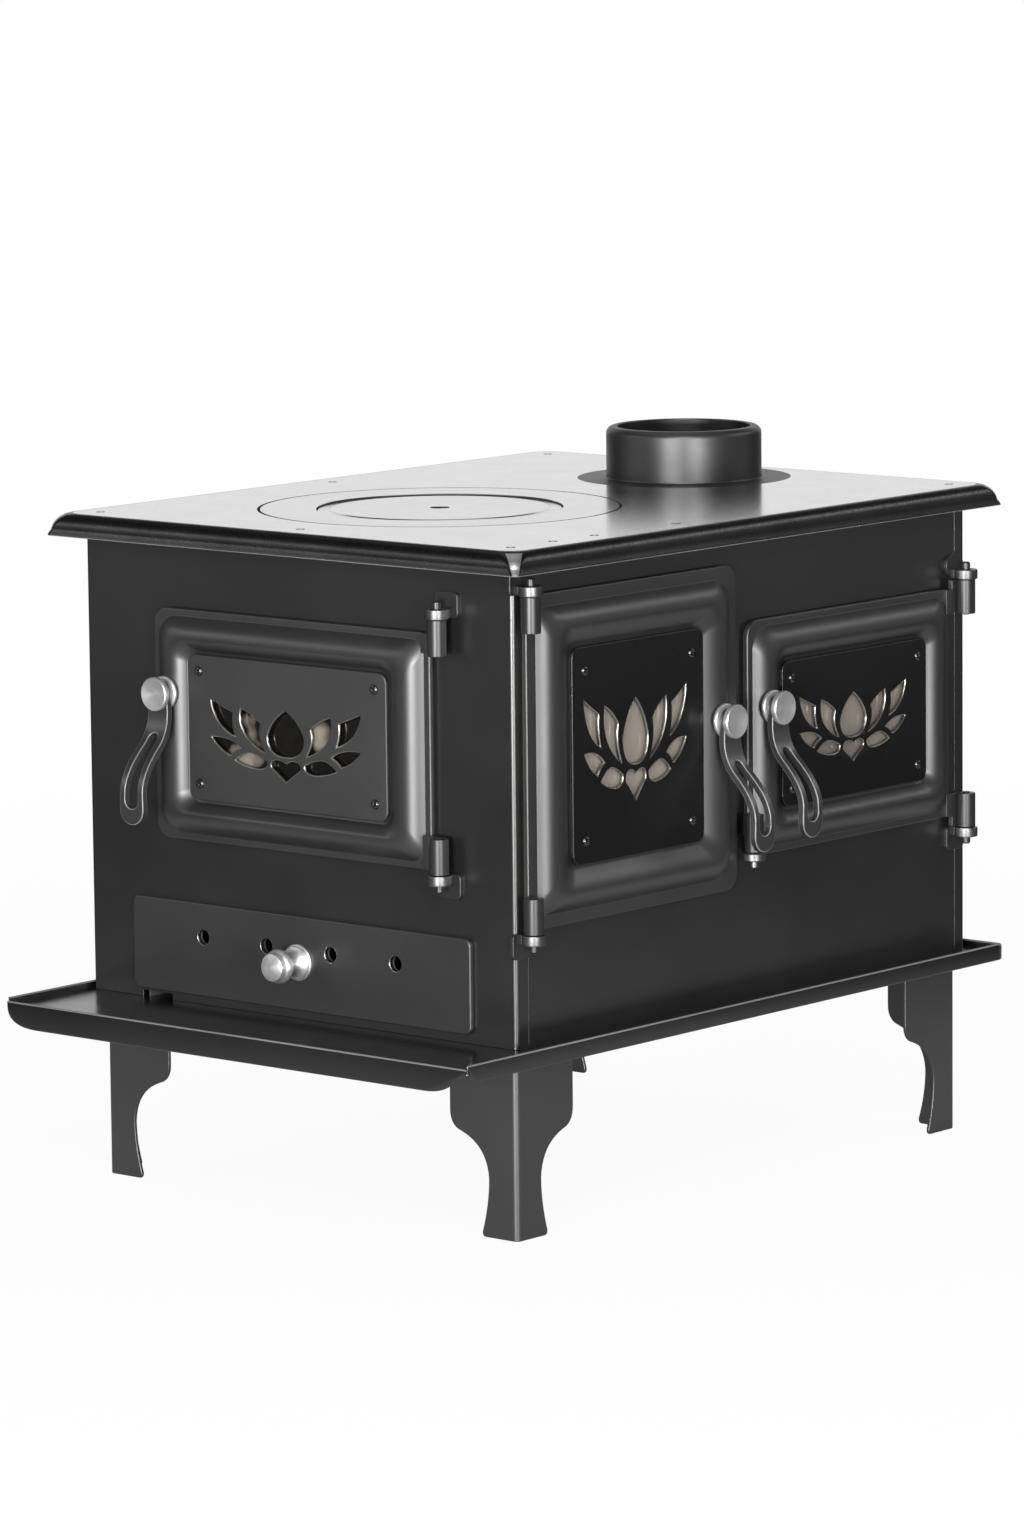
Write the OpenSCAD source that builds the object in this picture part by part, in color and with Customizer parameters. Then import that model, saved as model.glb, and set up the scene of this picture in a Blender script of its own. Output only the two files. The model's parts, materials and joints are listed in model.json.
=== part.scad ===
// Steel cook stove with an oven: a casing of folded sheet on four bent legs, three hinged
// doors with cut-out plates, lift-off cooking rings, a flue collar and an ash drawer.
// Millimetres. The floor is z = 0, the front faces -Y and the fire end faces -X.

/* [Casing] */
// depth of the casing from front to back
body_w = 447; // [435:1:480]
// thickness of the casing sheet
wall_t = 2.5; // [2:0.1:3]
// outer radius of the folded casing corners
bend_r = 4; // [3.5:0.5:8]
// width of the folded return on the front and the back
corner_return = 14; // [12:0.5:15]

/* [Tray and legs] */
// height of the legs under the tray
leg_h = 149; // [130:1:180]
// width of each leg wing at the top
leg_wide = 68; // [60:1:80]
// width of each leg wing at the waist
leg_waist = 29; // [24:1:34]
// width of each leg wing at the foot
leg_foot = 36; // [30:1:44]
// thickness of the leg plate
leg_t = 3; // [2:0.5:5]
// distance of the leg fold inside the casing corner
leg_inset = 7; // [0:1:12]
// distance of the leg fold inside the oven end of the casing
leg_inset_oven = 4; // [0:1:12]
// thickness of the tray plate
tray_t = 3; // [2:0.5:4]
// reach of the tray beyond the fire end
tray_fire = 95; // [70:1:140]
// reach of the tray in front of the casing
tray_front = 31; // [20:1:50]
// reach of the tray beyond the oven end
tray_oven = 10; // [8:1:24]
// reach of the tray behind the casing
tray_back = 5; // [4:1:24]
// height of the tray lip above the plate
lip_h = 6; // [4:0.5:7]
// height of the tray lip above the plate at the fire end
lip_fire = 3; // [2:0.5:7]
// drop of the tray skirt below the plate top at the fire end
skirt_fire = 18; // [14:0.5:20]
// drop of the tray skirt below the plate top on the other sides
skirt_side = 8; // [5:0.5:12]

/* [Top plate] */
// thickness of the cooking plate
top_t = 5; // [4.5:0.5:6]
// reach of the top plate beyond the casing
overhang = 23; // [18:1:32]
// full depth of the turned-down rim
rim_h = 18; // [16:0.5:20]
// thickness of the rim skirt
skirt_t = 3; // [2.5:0.5:4]
// corner radius of the flat top
top_corner_r = 18; // [12:1:24]

/* [Hotplate] */
// distance of the cooking hole from the fire end
hot_x = 194; // [185:1:205]
// distance of the cooking hole from the front
hot_y = 240; // [225:1:250]
// outer radius of the large cooking ring
ring_r = 144.5; // [135:0.5:148]
// radius of the small lid
lid_r = 98; // [90:0.5:104]
// free space round the ring and round the lid
ring_gap = 1; // [0.5:0.1:1.5]

/* [Flue collar] */
// distance of the flue from the oven end
flue_from_end = 87; // [80:1:92]
// distance of the flue from the front
flue_y = 225; // [200:1:250]
// outer radius of the collar
flue_r = 64.5; // [60:0.5:70]
// radius of the bore through the collar
flue_bore = 55; // [50:0.5:56]
// height of the collar above the top plate
flue_h = 43; // [30:1:80]

/* [Fire door] */
// distance of the fire door from the front edge of the end
fire_y0 = 79; // [76:1:84]
// width of the fire door
fire_w = 289; // [280:1:292]
// height of the fire door
fire_h = 184.5; // [176:0.5:190]
// height of the fire door bottom over the tray
fire_up = 132.5; // [130:0.5:140]
// side margin round the fire door plate
fire_side = 40.5; // [38:0.5:42]
// top and bottom margin round the fire door plate
fire_rise = 34.5; // [33:0.5:36]
// distance of the fire handle from the free edge
fire_grip = 20.5; // [18:0.5:21]
// height of the fire handle over the door bottom
fire_grip_up = 118; // [110:1:122]

/* [Window door] */
// distance of the window door from the fire end
window_x0 = 8.5; // [8:0.5:9]
// width of the window door
window_w = 256.5; // [248:0.5:290]
// height of the window door
window_h = 259; // [247:1:290]
// height of the casing over the window door
door_head = 31; // [28:1:70]
// height of the window door bottom over the tray
window_up = 91; // [90:1:96]
// side margin round the window door plate
window_side = 48; // [44:1:49]
// top and bottom margin round the window door plate
window_rise = 44; // [42:1:46]
// distance of the window handle from the free edge
window_grip = 29; // [24:0.5:30]
// height of the window handle over the door bottom
window_grip_up = 139; // [130:1:142]

/* [Oven door] */
// free space between the window door and the oven door
doors_apart = 14; // [13.5:0.5:16]
// width of the oven door
oven_w = 266; // [260:0.5:300]
// reach of the casing beyond the oven door
oven_end = 29; // [25:1:45]
// height of the oven door
oven_h = 189; // [184:1:190]
// height of the oven door bottom over the tray
oven_up = 114; // [113:1:116]
// side margin round the oven door plate
oven_side = 38; // [37:1:41]
// top and bottom margin round the oven door plate
oven_rise = 36; // [33:0.5:37]
// distance of the oven handle from the free edge
oven_grip = 18; // [17.5:0.5:21]
// height of the oven handle over the door bottom
oven_grip_up = 120; // [114:1:122]

/* [Door section] */
// height of the pressed moulding over the flange
press_h = 9; // [7:0.5:9.5]
// thickness of the cut-out plates
plate_t = 2; // [1.5:0.1:2.5]
// thickness of the door glass
glass_t = 3.5; // [3:0.1:3.6]
// radius of the button screw heads
head_r = 4; // [3.5:0.1:4.5]

/* [Hinges] */
// radius of the hinge barrels
barrel_r = 7.65; // [7:0.05:8]
// length of the hinge barrels
barrel_l = 28; // [24:1:30]
// radius of the hinge pins
pin_r = 3.5; // [3:0.1:4]
// radius of the rings over and under the barrels
hinge_ring_r = 9.5; // [9:0.1:10]
// height of the rings over and under the barrels
hinge_ring_h = 8; // [6:0.5:9]
// distance of the hinge line in front of the panel
hinge_v = 14; // [13.5:0.1:14.5]

/* [Handles] */
// radius of the turned knobs
spool_r = 13.5; // [12:0.5:14]
// radius of the knob spindles
spindle_r = 4; // [3.5:0.1:4.5]
// free space between a turning shaft and its bore
run_gap = 0.06; // [0.04:0.01:0.1]
// thickness of the handle straps
strap_t = 5.5; // [4:0.5:6]
// width of the straps at the knob
strap_top = 20; // [19:0.5:22]
// width of the straps at the tip
strap_tip = 25; // [23:0.5:28]
// length of the straps below the knob
strap_l = 101; // [90:1:110]
// distance of the strap tips in front of the panel
strap_out = 57; // [50:1:60]

/* [Ash drawer] */
// width of the drawer front
drawer_w = 355; // [350:1:362]
// height of the drawer front
drawer_h = 75; // [71:1:78]
// height of the drawer front bottom over the tray
drawer_up = 7.5; // [7:0.5:8]
// thickness of the drawer front
drawer_t = 4; // [3:0.5:5]
// length of the drawer box
drawer_l = 222; // [200:1:240]
// radius of the air holes
air_r = 6; // [4:0.5:8]
// radius of the drawer knob
drawer_knob_r = 13.5; // [11:0.5:15]

/* [Inside] */
// distance of the partition beyond the window door
part_beyond = 1; // [0.8:0.1:1.2]
// thickness of the partition
part_t = 3; // [2:0.5:3]
// thickness of the firebricks
brick_t = 22; // [18:1:25]
// free space left between inner pieces
inner_gap = 0.2; // [0.1:0.05:0.3]
// thickness of the oven sheet
oven_t = 2; // [1.5:0.1:2]
// radius of the oven rack rods
rod_r = 2.5; // [2:0.1:3]

/* [Hidden] */
$fn = 48;
FIRE = 0;
WINDOW = 1;
OVEN = 2;
EPS = 0.01;

// heights of the main planes
base_z = leg_h + tray_t;
body_h = window_up + window_h + door_head;
deck_z = base_z + body_h;
top_z = deck_z + top_t;
rim_z = top_z - rim_h;

// sizes of the three doors by number
door_w = [fire_w, window_w, oven_w];
door_h = [fire_h, window_h, oven_h];
door_z = [base_z + fire_up, base_z + window_up, base_z + oven_up];
side_m = [fire_side, window_side, oven_side];
rise_m = [fire_rise, window_rise, oven_rise];
grip_x = [fire_grip, window_grip, oven_grip];
grip_z = [fire_grip_up, window_grip_up, oven_grip_up];
window_x1 = window_x0 + window_w;
oven_x0 = window_x1 + doors_apart;
oven_x1 = oven_x0 + oven_w;
fire_y1 = fire_y0 + fire_w;

// length of the casing along the front
body_l = oven_x1 + oven_end;
part_x = window_x1 + part_beyond;

// reach of each hinge line beyond the door edge
hinge_out = [14.6, 3.7, 12];
// top of the upper barrel and bottom of the lower barrel over the door bottom
upper_top = [fire_h + 12, window_h + 0.4, oven_h + 7];
lower_low = [-0.5, 0, -8.5];

// tray corner rounds
tip_round = 32;
arch_r = 12;

// planes across a door, measured outward from the casing face
seal_v = 0.3;
flange_v0 = 3;
flange_v1 = 6;
crest_v = flange_v1 + press_h;
plate_v = 9;
seat_v = 6.5;
back_v = 1.2;
back_t = 1.5;
glass_v = back_v + back_t + 0.1;
boss_v = crest_v + 0.3;
boss_r = 8.5;
foot_in = [6, 10.5, 6];
crest_in = [22, 26, 22];
open_in = 9;
seat_w = 10;
seat_corner = 32;
plate_corner = 8;
screw_dx = [12, 15, 12];
screw_dz = [13, 18.5, 14];
head_h = 2.2;
shank_r = head_r / 2;
door_corner = 14;

// planes along a knob spindle
disc_v = boss_v + 0.2;
strap_v = disc_v + 3.8;
face_v = strap_v + strap_t + 0.2;
neck_r = 7.5;
latch_v = -wall_t - 1;
latch_t = 3;
latch_l = 24;
latch_w = 12;
slot_w = 14;

// spare knuckle on the free edge of the oven door
spare_in = -3;
spare_z = 6.3;
spare_l = 29.7;

// flue, drawer and hotplate positions
flue_x = body_l - flue_from_end;
flue_flange_r = flue_r + 23.5;
flue_flange_t = 3;
hot_r = ring_r + ring_gap;
seat_r0 = ring_r - 8.5;
seat_r1 = ring_r + 13.5;
seat_t = 4;
lift_gap = 0.3;
ledge_r = lid_r - 8;
cast_r = lid_r + 10;
ledge_z = deck_z - 2.7;
lid_z = ledge_z + lift_gap;
drawer_y = 220;
drawer_y0 = drawer_y - drawer_w / 2;
drawer_z = base_z + drawer_up;
drawer_gap = 0.6;
box_in = 14.5;
box_h = drawer_h - 20;
box_z = drawer_z + 6.3;
box_t = 1.5;
guide_z = box_z - lift_gap;
guide_t = 2;
guide_h = 24;
guide_w = 12;
knob_screw_l = 15;
notch_from_back = 87;
notch_w = 32;
drawer_open = 9.5;
air_z = drawer_z + 48;
knob_z = drawer_z + 38.5;
air_step = 67.5;

// firebox and oven
floor_up = 88;
floor_t = 3;
brick_h = 197;
brick_y0 = 12;
part_up = 303;
floor_z = base_z + floor_up;
brick_z = floor_z + floor_t;
brick_top = brick_z + brick_h;
part_top = base_z + part_up;
// room left for the round inside of the folded corners
fold_gap = 0.3 * (bend_r - wall_t) + inner_gap;
grate_l = 250;
grate_w = 150;
grate_t = 9;
grate_off = 4;
grate_front = 85;
grate_x = part_x / 2 - grate_off;
grate_y = grate_front + grate_l / 2;
oven_side_gap = 1;
oven_box_end = 18;
oven_box_up = 121;
oven_box_h = 177;
oven_box_back = 43;
oven_box_x0 = part_x + part_t + oven_side_gap;
oven_box_x1 = body_l - oven_box_end;
oven_box_z0 = base_z + oven_box_up;
oven_box_z1 = oven_box_z0 + oven_box_h;
oven_box_y1 = body_w - oven_box_back;
rack_up = 85;
rack_in = 2;
rack_y0 = 24;
rail_y0 = 20;
rack_z = oven_box_z0 + rack_up;
rack_x0 = oven_x0 + open_in + rack_in;
rack_x1 = oven_x1 - open_in - rack_in;
rail_w = 20;

// the origin lies under the middle of the whole stove
mid_x = (body_l + overhang - tray_fire) / 2;
mid_y = (body_w + overhang - strap_out) / 2;

module from_corner() {
    translate([-mid_x, -mid_y, 0]) children();
}

// ---- plane shapes ----

// a rectangle with four equal round corners
module round_rect(x0, y0, x1, y1, r) {
    translate([x0 + r, y0]) square([x1 - x0 - 2 * r, y1 - y0]);
    translate([x0, y0 + r]) square([x1 - x0, y1 - y0 - 2 * r]);
    for (x = [x0 + r, x1 - r], y = [y0 + r, y1 - r]) translate([x, y]) circle(r);
}

// a rectangle with its own corner radius at the free side and at the hinge side
module door_rect(i, inset, free_r, hinge_r) {
    w = door_w[i];
    h = door_h[i];
    intersection() {
        round_rect(inset, inset, w + 60, h - inset, free_r);
        round_rect(-60, inset, w - inset, h - inset, hinge_r);
    }
}

// points of a quadratic curve from a to c drawn towards b, without its last point
function bow(a, b, c, n = 6) = [
    for (k = [0:n - 1])
        let (t = k / n)
        (1 - t) * (1 - t) * a + 2 * t * (1 - t) * b + t * t * c
];

// ---- doors ----

// stands upright: drawn in x and z, thickened outward from v0 to v1
module sheet(v0, v1) {
    translate([0, -v0, 0]) rotate([90, 0, 0]) linear_extrude(v1 - v0) children();
}

// a turned piece along the outward direction at x and z of a door
module turned(x, z) {
    translate([x, 0, z]) rotate([90, 0, 0]) children();
}

// sets a door drawn from its free edge into its opening
module place_door(i) {
    if (i == FIRE) {
        translate([0, fire_y1, door_z[i]]) rotate([0, 0, -90]) children();
    }
    if (i == WINDOW) {
        translate([window_x1, 0, door_z[i]]) mirror([1, 0, 0]) children();
    }
    if (i == OVEN) {
        translate([oven_x0, 0, door_z[i]]) children();
    }
}

// one level of the moulding, s from 0 at the flange to 1 at the crest
module press_level(i, s) {
    inset = foot_in[i] + (crest_in[i] - foot_in[i]) * (1 - cos(90 * s));
    v = flange_v1 + press_h * sin(90 * s);
    sheet(v - 0.05, v) door_rect(i, inset, 20 - 4 * s, 14 + 2 * s);
}

// one level of the hollow inside the moulding, s from 0 at the plate to 1 at the crest
module basin_level(i, s) {
    mx = side_m[i];
    mz = rise_m[i];
    c = crest_in[i] + 2;
    kx = c + (mx - c) * cos(90 * s);
    kz = c + (mz - c) * cos(90 * s);
    v = plate_v - 0.6 + (crest_v - plate_v + 0.7) * sin(90 * s);
    sheet(v, v + 0.05)
        round_rect(kx, kz, door_w[i] - kx, door_h[i] - kz, plate_corner + 6);
}

module door_frame(i) {
    w = door_w[i];
    h = door_h[i];
    mx = side_m[i];
    mz = rise_m[i];
    difference() {
        union() {
            sheet(flange_v0, flange_v1) door_rect(i, 0, door_corner, 4);
            hull() for (s = [0:0.2:1]) press_level(i, s);
            turned(grip_x[i], grip_z[i]) translate([0, 0, flange_v0])
                cylinder(r = boss_r, h = boss_v - flange_v0);
            for (z = [upper_top[i] - barrel_l, lower_low[i]]) door_barrel(i, z);
            if (i == OVEN) spare_leaf();
        }
        // the basin in front of the plate
        hull() { basin_level(i, 0); basin_level(i, 0.35); }
        hull() { basin_level(i, 0.35); basin_level(i, 0.7); }
        hull() { basin_level(i, 0.7); basin_level(i, 1); }
        sheet(plate_v - 0.1, crest_v + 1)
            round_rect(mx - 0.6, mz - 0.6, w - mx + 0.6, h - mz + 0.6, plate_corner + 0.6);
        // the hollow behind the moulding
        difference() {
            union() {
                sheet(flange_v0 - 1, seat_v) door_rect(i, 13, 12, 12);
                sheet(seat_v - EPS, 10) difference() {
                    door_rect(i, 14, 12, 12);
                    round_rect(mx - 4, mz - 4, w - mx + 4, h - mz + 4, 8);
                }
            }
            turned(grip_x[i], grip_z[i]) cylinder(r = boss_r, h = 30);
        }
        // the window through the seat
        sheet(0, 20) round_rect(mx + seat_w, mz + seat_w, w - mx - seat_w, h - mz - seat_w,
            seat_corner);
        for (p = screw_spots(i)) turned(p[0], p[1]) cylinder(r = shank_r + 0.05, h = 20);
        turned(grip_x[i], grip_z[i]) cylinder(r = spindle_r + run_gap, h = 30);
        translate([w + hinge_out[i], -hinge_v, lower_low[i] - 20])
            cylinder(r = pin_r + run_gap, h = h + 60);
    }
}

// barrel with its leaf on the hinge edge, its bottom at height z
module door_barrel(i, z) {
    a = door_w[i] + hinge_out[i];
    translate([a, -hinge_v, z]) cylinder(r = barrel_r, h = barrel_l);
    leaf_z0 = max(z, 0.5);
    leaf_z1 = min(z + barrel_l, door_h[i] - 0.5);
    translate([door_w[i] - 7, -8.5, leaf_z0]) cube([hinge_out[i] + 7, 4, leaf_z1 - leaf_z0]);
    translate([door_w[i] + 0.5, -8.5, z]) cube([hinge_out[i] - 0.5, 4, barrel_l]);
}

function screw_spots(i) = [
    for (x = [side_m[i] + screw_dx[i], door_w[i] - side_m[i] - screw_dx[i]])
        for (z = [rise_m[i] + screw_dz[i], door_h[i] - rise_m[i] - screw_dz[i]])
            [x, z]
];

// flower cut-out: its stretch on each door, and its place from the middle of the plate
flower_x = [1, 0.797, 0.89];
flower_z = [0.965, 1.36, 0.945];
flower_across = [-1.1, 3.9, -2.6];
flower_up = [0, 9.6, 4.1];

function petal_middle() = concat(
    bow([0, 21], [15, 12], [19, -1]),
    bow([19, -1], [19, -16.5], [0, -16.5]),
    bow([0, -16.5], [-19, -16.5], [-19, -1]),
    bow([-19, -1], [-15, 12], [0, 21])
);

function petal_inner() = concat(
    bow([47, 19], [52, -3], [22, -14.5]),
    bow([22, -14.5], [31, -2], [26.5, 8]),
    bow([26.5, 8], [36, 16], [47, 19])
);

function petal_outer() = concat(
    bow([78.4, 24], [75, 3], [53.5, -3.5]),
    bow([53.5, -3.5], [58, 6], [56, 15]),
    bow([56, 15], [67, 19], [78.4, 24])
);

function leaf_outer() = concat(
    bow([77.8, -6.5], [69, -17], [58, -19.5]),
    bow([58, -19.5], [54, -15], [48, -13]),
    bow([48, -13], [59, -5], [77.8, -6.5])
);

function leaf_inner() = concat(
    bow([53, -23.5], [43, -28], [30, -28.5]),
    bow([30, -28.5], [19, -28], [20, -22]),
    bow([20, -22], [35, -15], [42, -17.5]),
    bow([42, -17.5], [47, -19], [53, -23.5])
);

function leaf_middle() = concat(
    bow([0, -37], [9, -30], [15, -26]),
    bow([15, -26], [16, -20], [8, -20]),
    bow([8, -20], [3, -20.5], [0, -22.5]),
    bow([0, -22.5], [-3, -20.5], [-8, -20]),
    bow([-8, -20], [-16, -20], [-15, -26]),
    bow([-15, -26], [-9, -30], [0, -37])
);

// one petal stretched for door i, side is 1 or -1
module petal(i, side, points) {
    polygon([for (p = points) [side * p[0] * flower_x[i], p[1] * flower_z[i]]]);
}

module flower(i) {
    petal(i, 1, petal_middle());
    petal(i, 1, leaf_middle());
    for (side = [-1, 1]) {
        petal(i, side, petal_inner());
        petal(i, side, petal_outer());
        petal(i, side, leaf_outer());
        petal(i, side, leaf_inner());
    }
}

module vent_plate(i) {
    w = door_w[i];
    h = door_h[i];
    difference() {
        sheet(plate_v, plate_v + plate_t) difference() {
            round_rect(side_m[i], rise_m[i], w - side_m[i], h - rise_m[i], plate_corner);
            translate([w / 2 + flower_across[i], h / 2 + flower_up[i]]) flower(i);
        }
        for (p = screw_spots(i)) turned(p[0], p[1]) cylinder(r = shank_r + 0.05, h = 20);
    }
}

module door_glass(i) {
    ix = side_m[i] + 2;
    iz = rise_m[i] + 2;
    sheet(glass_v, glass_v + glass_t)
        round_rect(ix, iz, door_w[i] - ix, door_h[i] - iz, 12);
}

module back_plate(i) {
    ix = side_m[i] + seat_w;
    iz = rise_m[i] + seat_w;
    difference() {
        sheet(back_v, back_v + back_t) difference() {
            door_rect(i, open_in + 0.5, 8, 8);
            round_rect(ix, iz, door_w[i] - ix, door_h[i] - iz, 20);
        }
        turned(grip_x[i], grip_z[i]) cylinder(r = spindle_r + 2.5, h = 20);
    }
}

module door_seal(i) {
    sheet(seal_v, flange_v0) difference() {
        door_rect(i, 1.5, 12.5, 3);
        door_rect(i, 7.5, 8, 8);
    }
}

module door_screws(i) {
    for (p = screw_spots(i)) turned(p[0], p[1]) {
        translate([0, 0, plate_v - 2.4]) cylinder(r = shank_r, h = plate_t + 2.4 + EPS);
        translate([0, 0, plate_v + plate_t]) difference() {
            intersection() {
                cylinder(r = head_r, h = head_h);
                translate([0, 0, head_h - 5.2]) sphere(5.2);
            }
            translate([0, 0, head_h - 1.2]) cylinder(r = 1.6, h = 2, $fn = 6);
        }
    }
}

// ---- handles ----

module handle_knob(i) {
    turned(grip_x[i], grip_z[i]) rotate_extrude() polygon([
        [0, latch_v - latch_t - 1], [spindle_r, latch_v - latch_t - 1],
        [spindle_r, disc_v], [spool_r - 1.2, disc_v], [spool_r, disc_v + 1.2],
        [spool_r, strap_v - 1.3], [spool_r - 1.2, strap_v - 0.1], [neck_r, strap_v - 0.1],
        [neck_r, face_v], [spool_r - 1.2, face_v], [spool_r, face_v + 1.2],
        [spool_r, face_v + 3.8], [spool_r - 1.2, face_v + 5], [spool_r - 2.5, face_v + 5],
        [0, face_v + 3]
    ]);
}

// middle line of the strap: outward distance and height from the knob axis
function strap_line() =
    let (near = strap_v + strap_t / 2, far = strap_out - strap_t / 2)
    concat(
        bow([near, strap_top / 2 + 1], [near, 0], [near, -14], 2),
        bow([near, -14], [near + 0.5, -31], [near + 12, -42], 6),
        bow([near + 12, -42], [far, -61], [far, -76], 6),
        [[far, -76], [far, -strap_l - 2]]
    );

// unit direction across the line at its point k
function across(line, k) =
    let (a = line[max(k - 1, 0)], b = line[min(k + 1, len(line) - 1)], d = b - a)
    [-d[1], d[0]] / norm(d);

module strap_side() {
    line = strap_line();
    n = len(line);
    polygon(concat(
        [for (k = [0:n - 1]) line[k] + across(line, k) * strap_t / 2],
        [for (k = [n - 1:-1:0]) line[k] - across(line, k) * strap_t / 2]
    ));
}

module strap_front() {
    tip_z = -strap_l + strap_tip / 2;
    circle(strap_top / 2);
    translate([0, tip_z]) circle(strap_tip / 2);
    polygon([
        [-strap_top / 2, 0], [-strap_tip / 2, tip_z],
        [strap_tip / 2, tip_z], [strap_top / 2, 0]
    ]);
}

module strap_slot() {
    low = -strap_l + 13 + slot_w / 2;
    translate([0, low]) circle(slot_w / 2);
    translate([0, -37]) circle(slot_w / 2 - 2);
    polygon([
        [-slot_w / 2, low], [slot_w / 2, low], [slot_w / 2 - 2, -37], [-slot_w / 2 + 2, -37]
    ]);
}

module handle_strap(i) {
    translate([grip_x[i], 0, grip_z[i]]) intersection() {
        // the bent side view, as wide as the widest end
        rotate([0, 0, -90]) rotate([90, 0, 0]) translate([0, 0, -strap_tip])
            linear_extrude(2 * strap_tip) strap_side();
        sheet(strap_v - 5, strap_out + 5) difference() {
            strap_front();
            strap_slot();
            circle(neck_r + 0.05);
        }
    }
}

module handle_latch(i) {
    translate([grip_x[i], 0, grip_z[i]]) sheet(latch_v - latch_t, latch_v) difference() {
        union() {
            circle(latch_w / 2 + 1.5);
            translate([-latch_w / 2, 0]) square([latch_w, latch_l - latch_w / 2]);
            translate([0, latch_l - latch_w / 2]) circle(latch_w / 2);
        }
        circle(spindle_r + 0.03);
    }
}

// ---- hinges ----

// ring with its plate on the casing; low is the face near the barrel, up is 1 or -1
module bracket(i, low, up) {
    a = door_w[i] + hinge_out[i];
    z0 = up > 0 ? low : low - hinge_ring_h;
    p0 = up > 0 ? low : low - hinge_ring_h - 12;
    difference() {
        union() {
            translate([a, -hinge_v, z0]) cylinder(r = hinge_ring_r, h = hinge_ring_h);
            translate([a - 6, -hinge_v + 3, z0]) cube([12, hinge_v - 3 - EPS, hinge_ring_h]);
            sheet(0.02, 3) round_rect(a - 11.5, p0, a + 11.5, p0 + hinge_ring_h + 12,
                i == OVEN && up > 0 ? 9.8 : 4);
        }
        translate([a, -hinge_v, z0 - 1]) cylinder(r = pin_r + 0.02, h = hinge_ring_h + 2);
    }
}

module bracket_pair(i) {
    bracket(i, upper_top[i] + lift_gap, 1);
    bracket(i, lower_low[i] - lift_gap, -1);
}

module hinge_brackets() {
    color("dimgray") from_corner() for (i = [FIRE, WINDOW, OVEN]) place_door(i) bracket_pair(i);
}

module pin_pair(i) {
    a = door_w[i] + hinge_out[i];
    reach = barrel_l + lift_gap + hinge_ring_h;
    for (z = [upper_top[i] - barrel_l - 1, lower_low[i] - lift_gap - hinge_ring_h - 6])
        translate([a, -hinge_v, z]) {
            translate([0, 0, 1]) cylinder(r = pin_r, h = reach + 5);
            cylinder(r1 = pin_r - 1, r2 = pin_r, h = 1);
            translate([0, 0, reach + 6]) cylinder(r1 = pin_r, r2 = pin_r - 1, h = 1);
        }
}

module hinge_pins() {
    color("silver") from_corner() for (i = [FIRE, WINDOW, OVEN]) place_door(i) pin_pair(i);
}

// leaf of the spare knuckle, part of the oven door frame
module spare_leaf() {
    translate([spare_in - 2, -8.5, spare_z + 12]) cube([9, 4, spare_l - 12]);
}

module spare_knuckle() {
    translate([spare_in, -hinge_v, 0]) difference() {
        union() {
            translate([0, 0, spare_z]) cylinder(r = barrel_r, h = spare_l);
            translate([0, 0, spare_z - 0.2 - 7]) cylinder(r = hinge_ring_r, h = 7.2 + EPS);
            translate([0, 0, spare_z - 13]) cylinder(r = pin_r, h = 6);
        }
        translate([-2.9, 5.3, spare_z + 11.7]) cube([20, 5, spare_l]);
    }
}

module oven_door_spare_knuckle() {
    color("dimgray") from_corner() place_door(OVEN) spare_knuckle();
}

// ---- door nodes ----

module fire_door_frame() { color("#3a3a3a") from_corner() place_door(FIRE) door_frame(FIRE); }
module fire_vent_plate() { color("#333333") from_corner() place_door(FIRE) vent_plate(FIRE); }
module fire_glass() { color("#6b655f") from_corner() place_door(FIRE) door_glass(FIRE); }
module fire_back_plate() { color("#2b2b2b") from_corner() place_door(FIRE) back_plate(FIRE); }
module fire_seal() { color("#4a4a46") from_corner() place_door(FIRE) door_seal(FIRE); }
module fire_screws() { color("#1a1a1a") from_corner() place_door(FIRE) door_screws(FIRE); }
module fire_handle_knob() { color("#c8c8c8") from_corner() place_door(FIRE) handle_knob(FIRE); }
module fire_handle_strap() { color("#2e2e2e") from_corner() place_door(FIRE) handle_strap(FIRE); }
module fire_handle_latch() { color("#555555") from_corner() place_door(FIRE) handle_latch(FIRE); }

module window_door_frame() {
    color("#3a3a3a") from_corner() place_door(WINDOW) door_frame(WINDOW);
}
module window_vent_plate() {
    color("#333333") from_corner() place_door(WINDOW) vent_plate(WINDOW);
}
module window_glass() { color("#6b655f") from_corner() place_door(WINDOW) door_glass(WINDOW); }
module window_back_plate() {
    color("#2b2b2b") from_corner() place_door(WINDOW) back_plate(WINDOW);
}
module window_seal() { color("#4a4a46") from_corner() place_door(WINDOW) door_seal(WINDOW); }
module window_screws() { color("#1a1a1a") from_corner() place_door(WINDOW) door_screws(WINDOW); }
module window_handle_knob() {
    color("#c8c8c8") from_corner() place_door(WINDOW) handle_knob(WINDOW);
}
module window_handle_strap() {
    color("#2e2e2e") from_corner() place_door(WINDOW) handle_strap(WINDOW);
}
module window_handle_latch() {
    color("#555555") from_corner() place_door(WINDOW) handle_latch(WINDOW);
}

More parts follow.
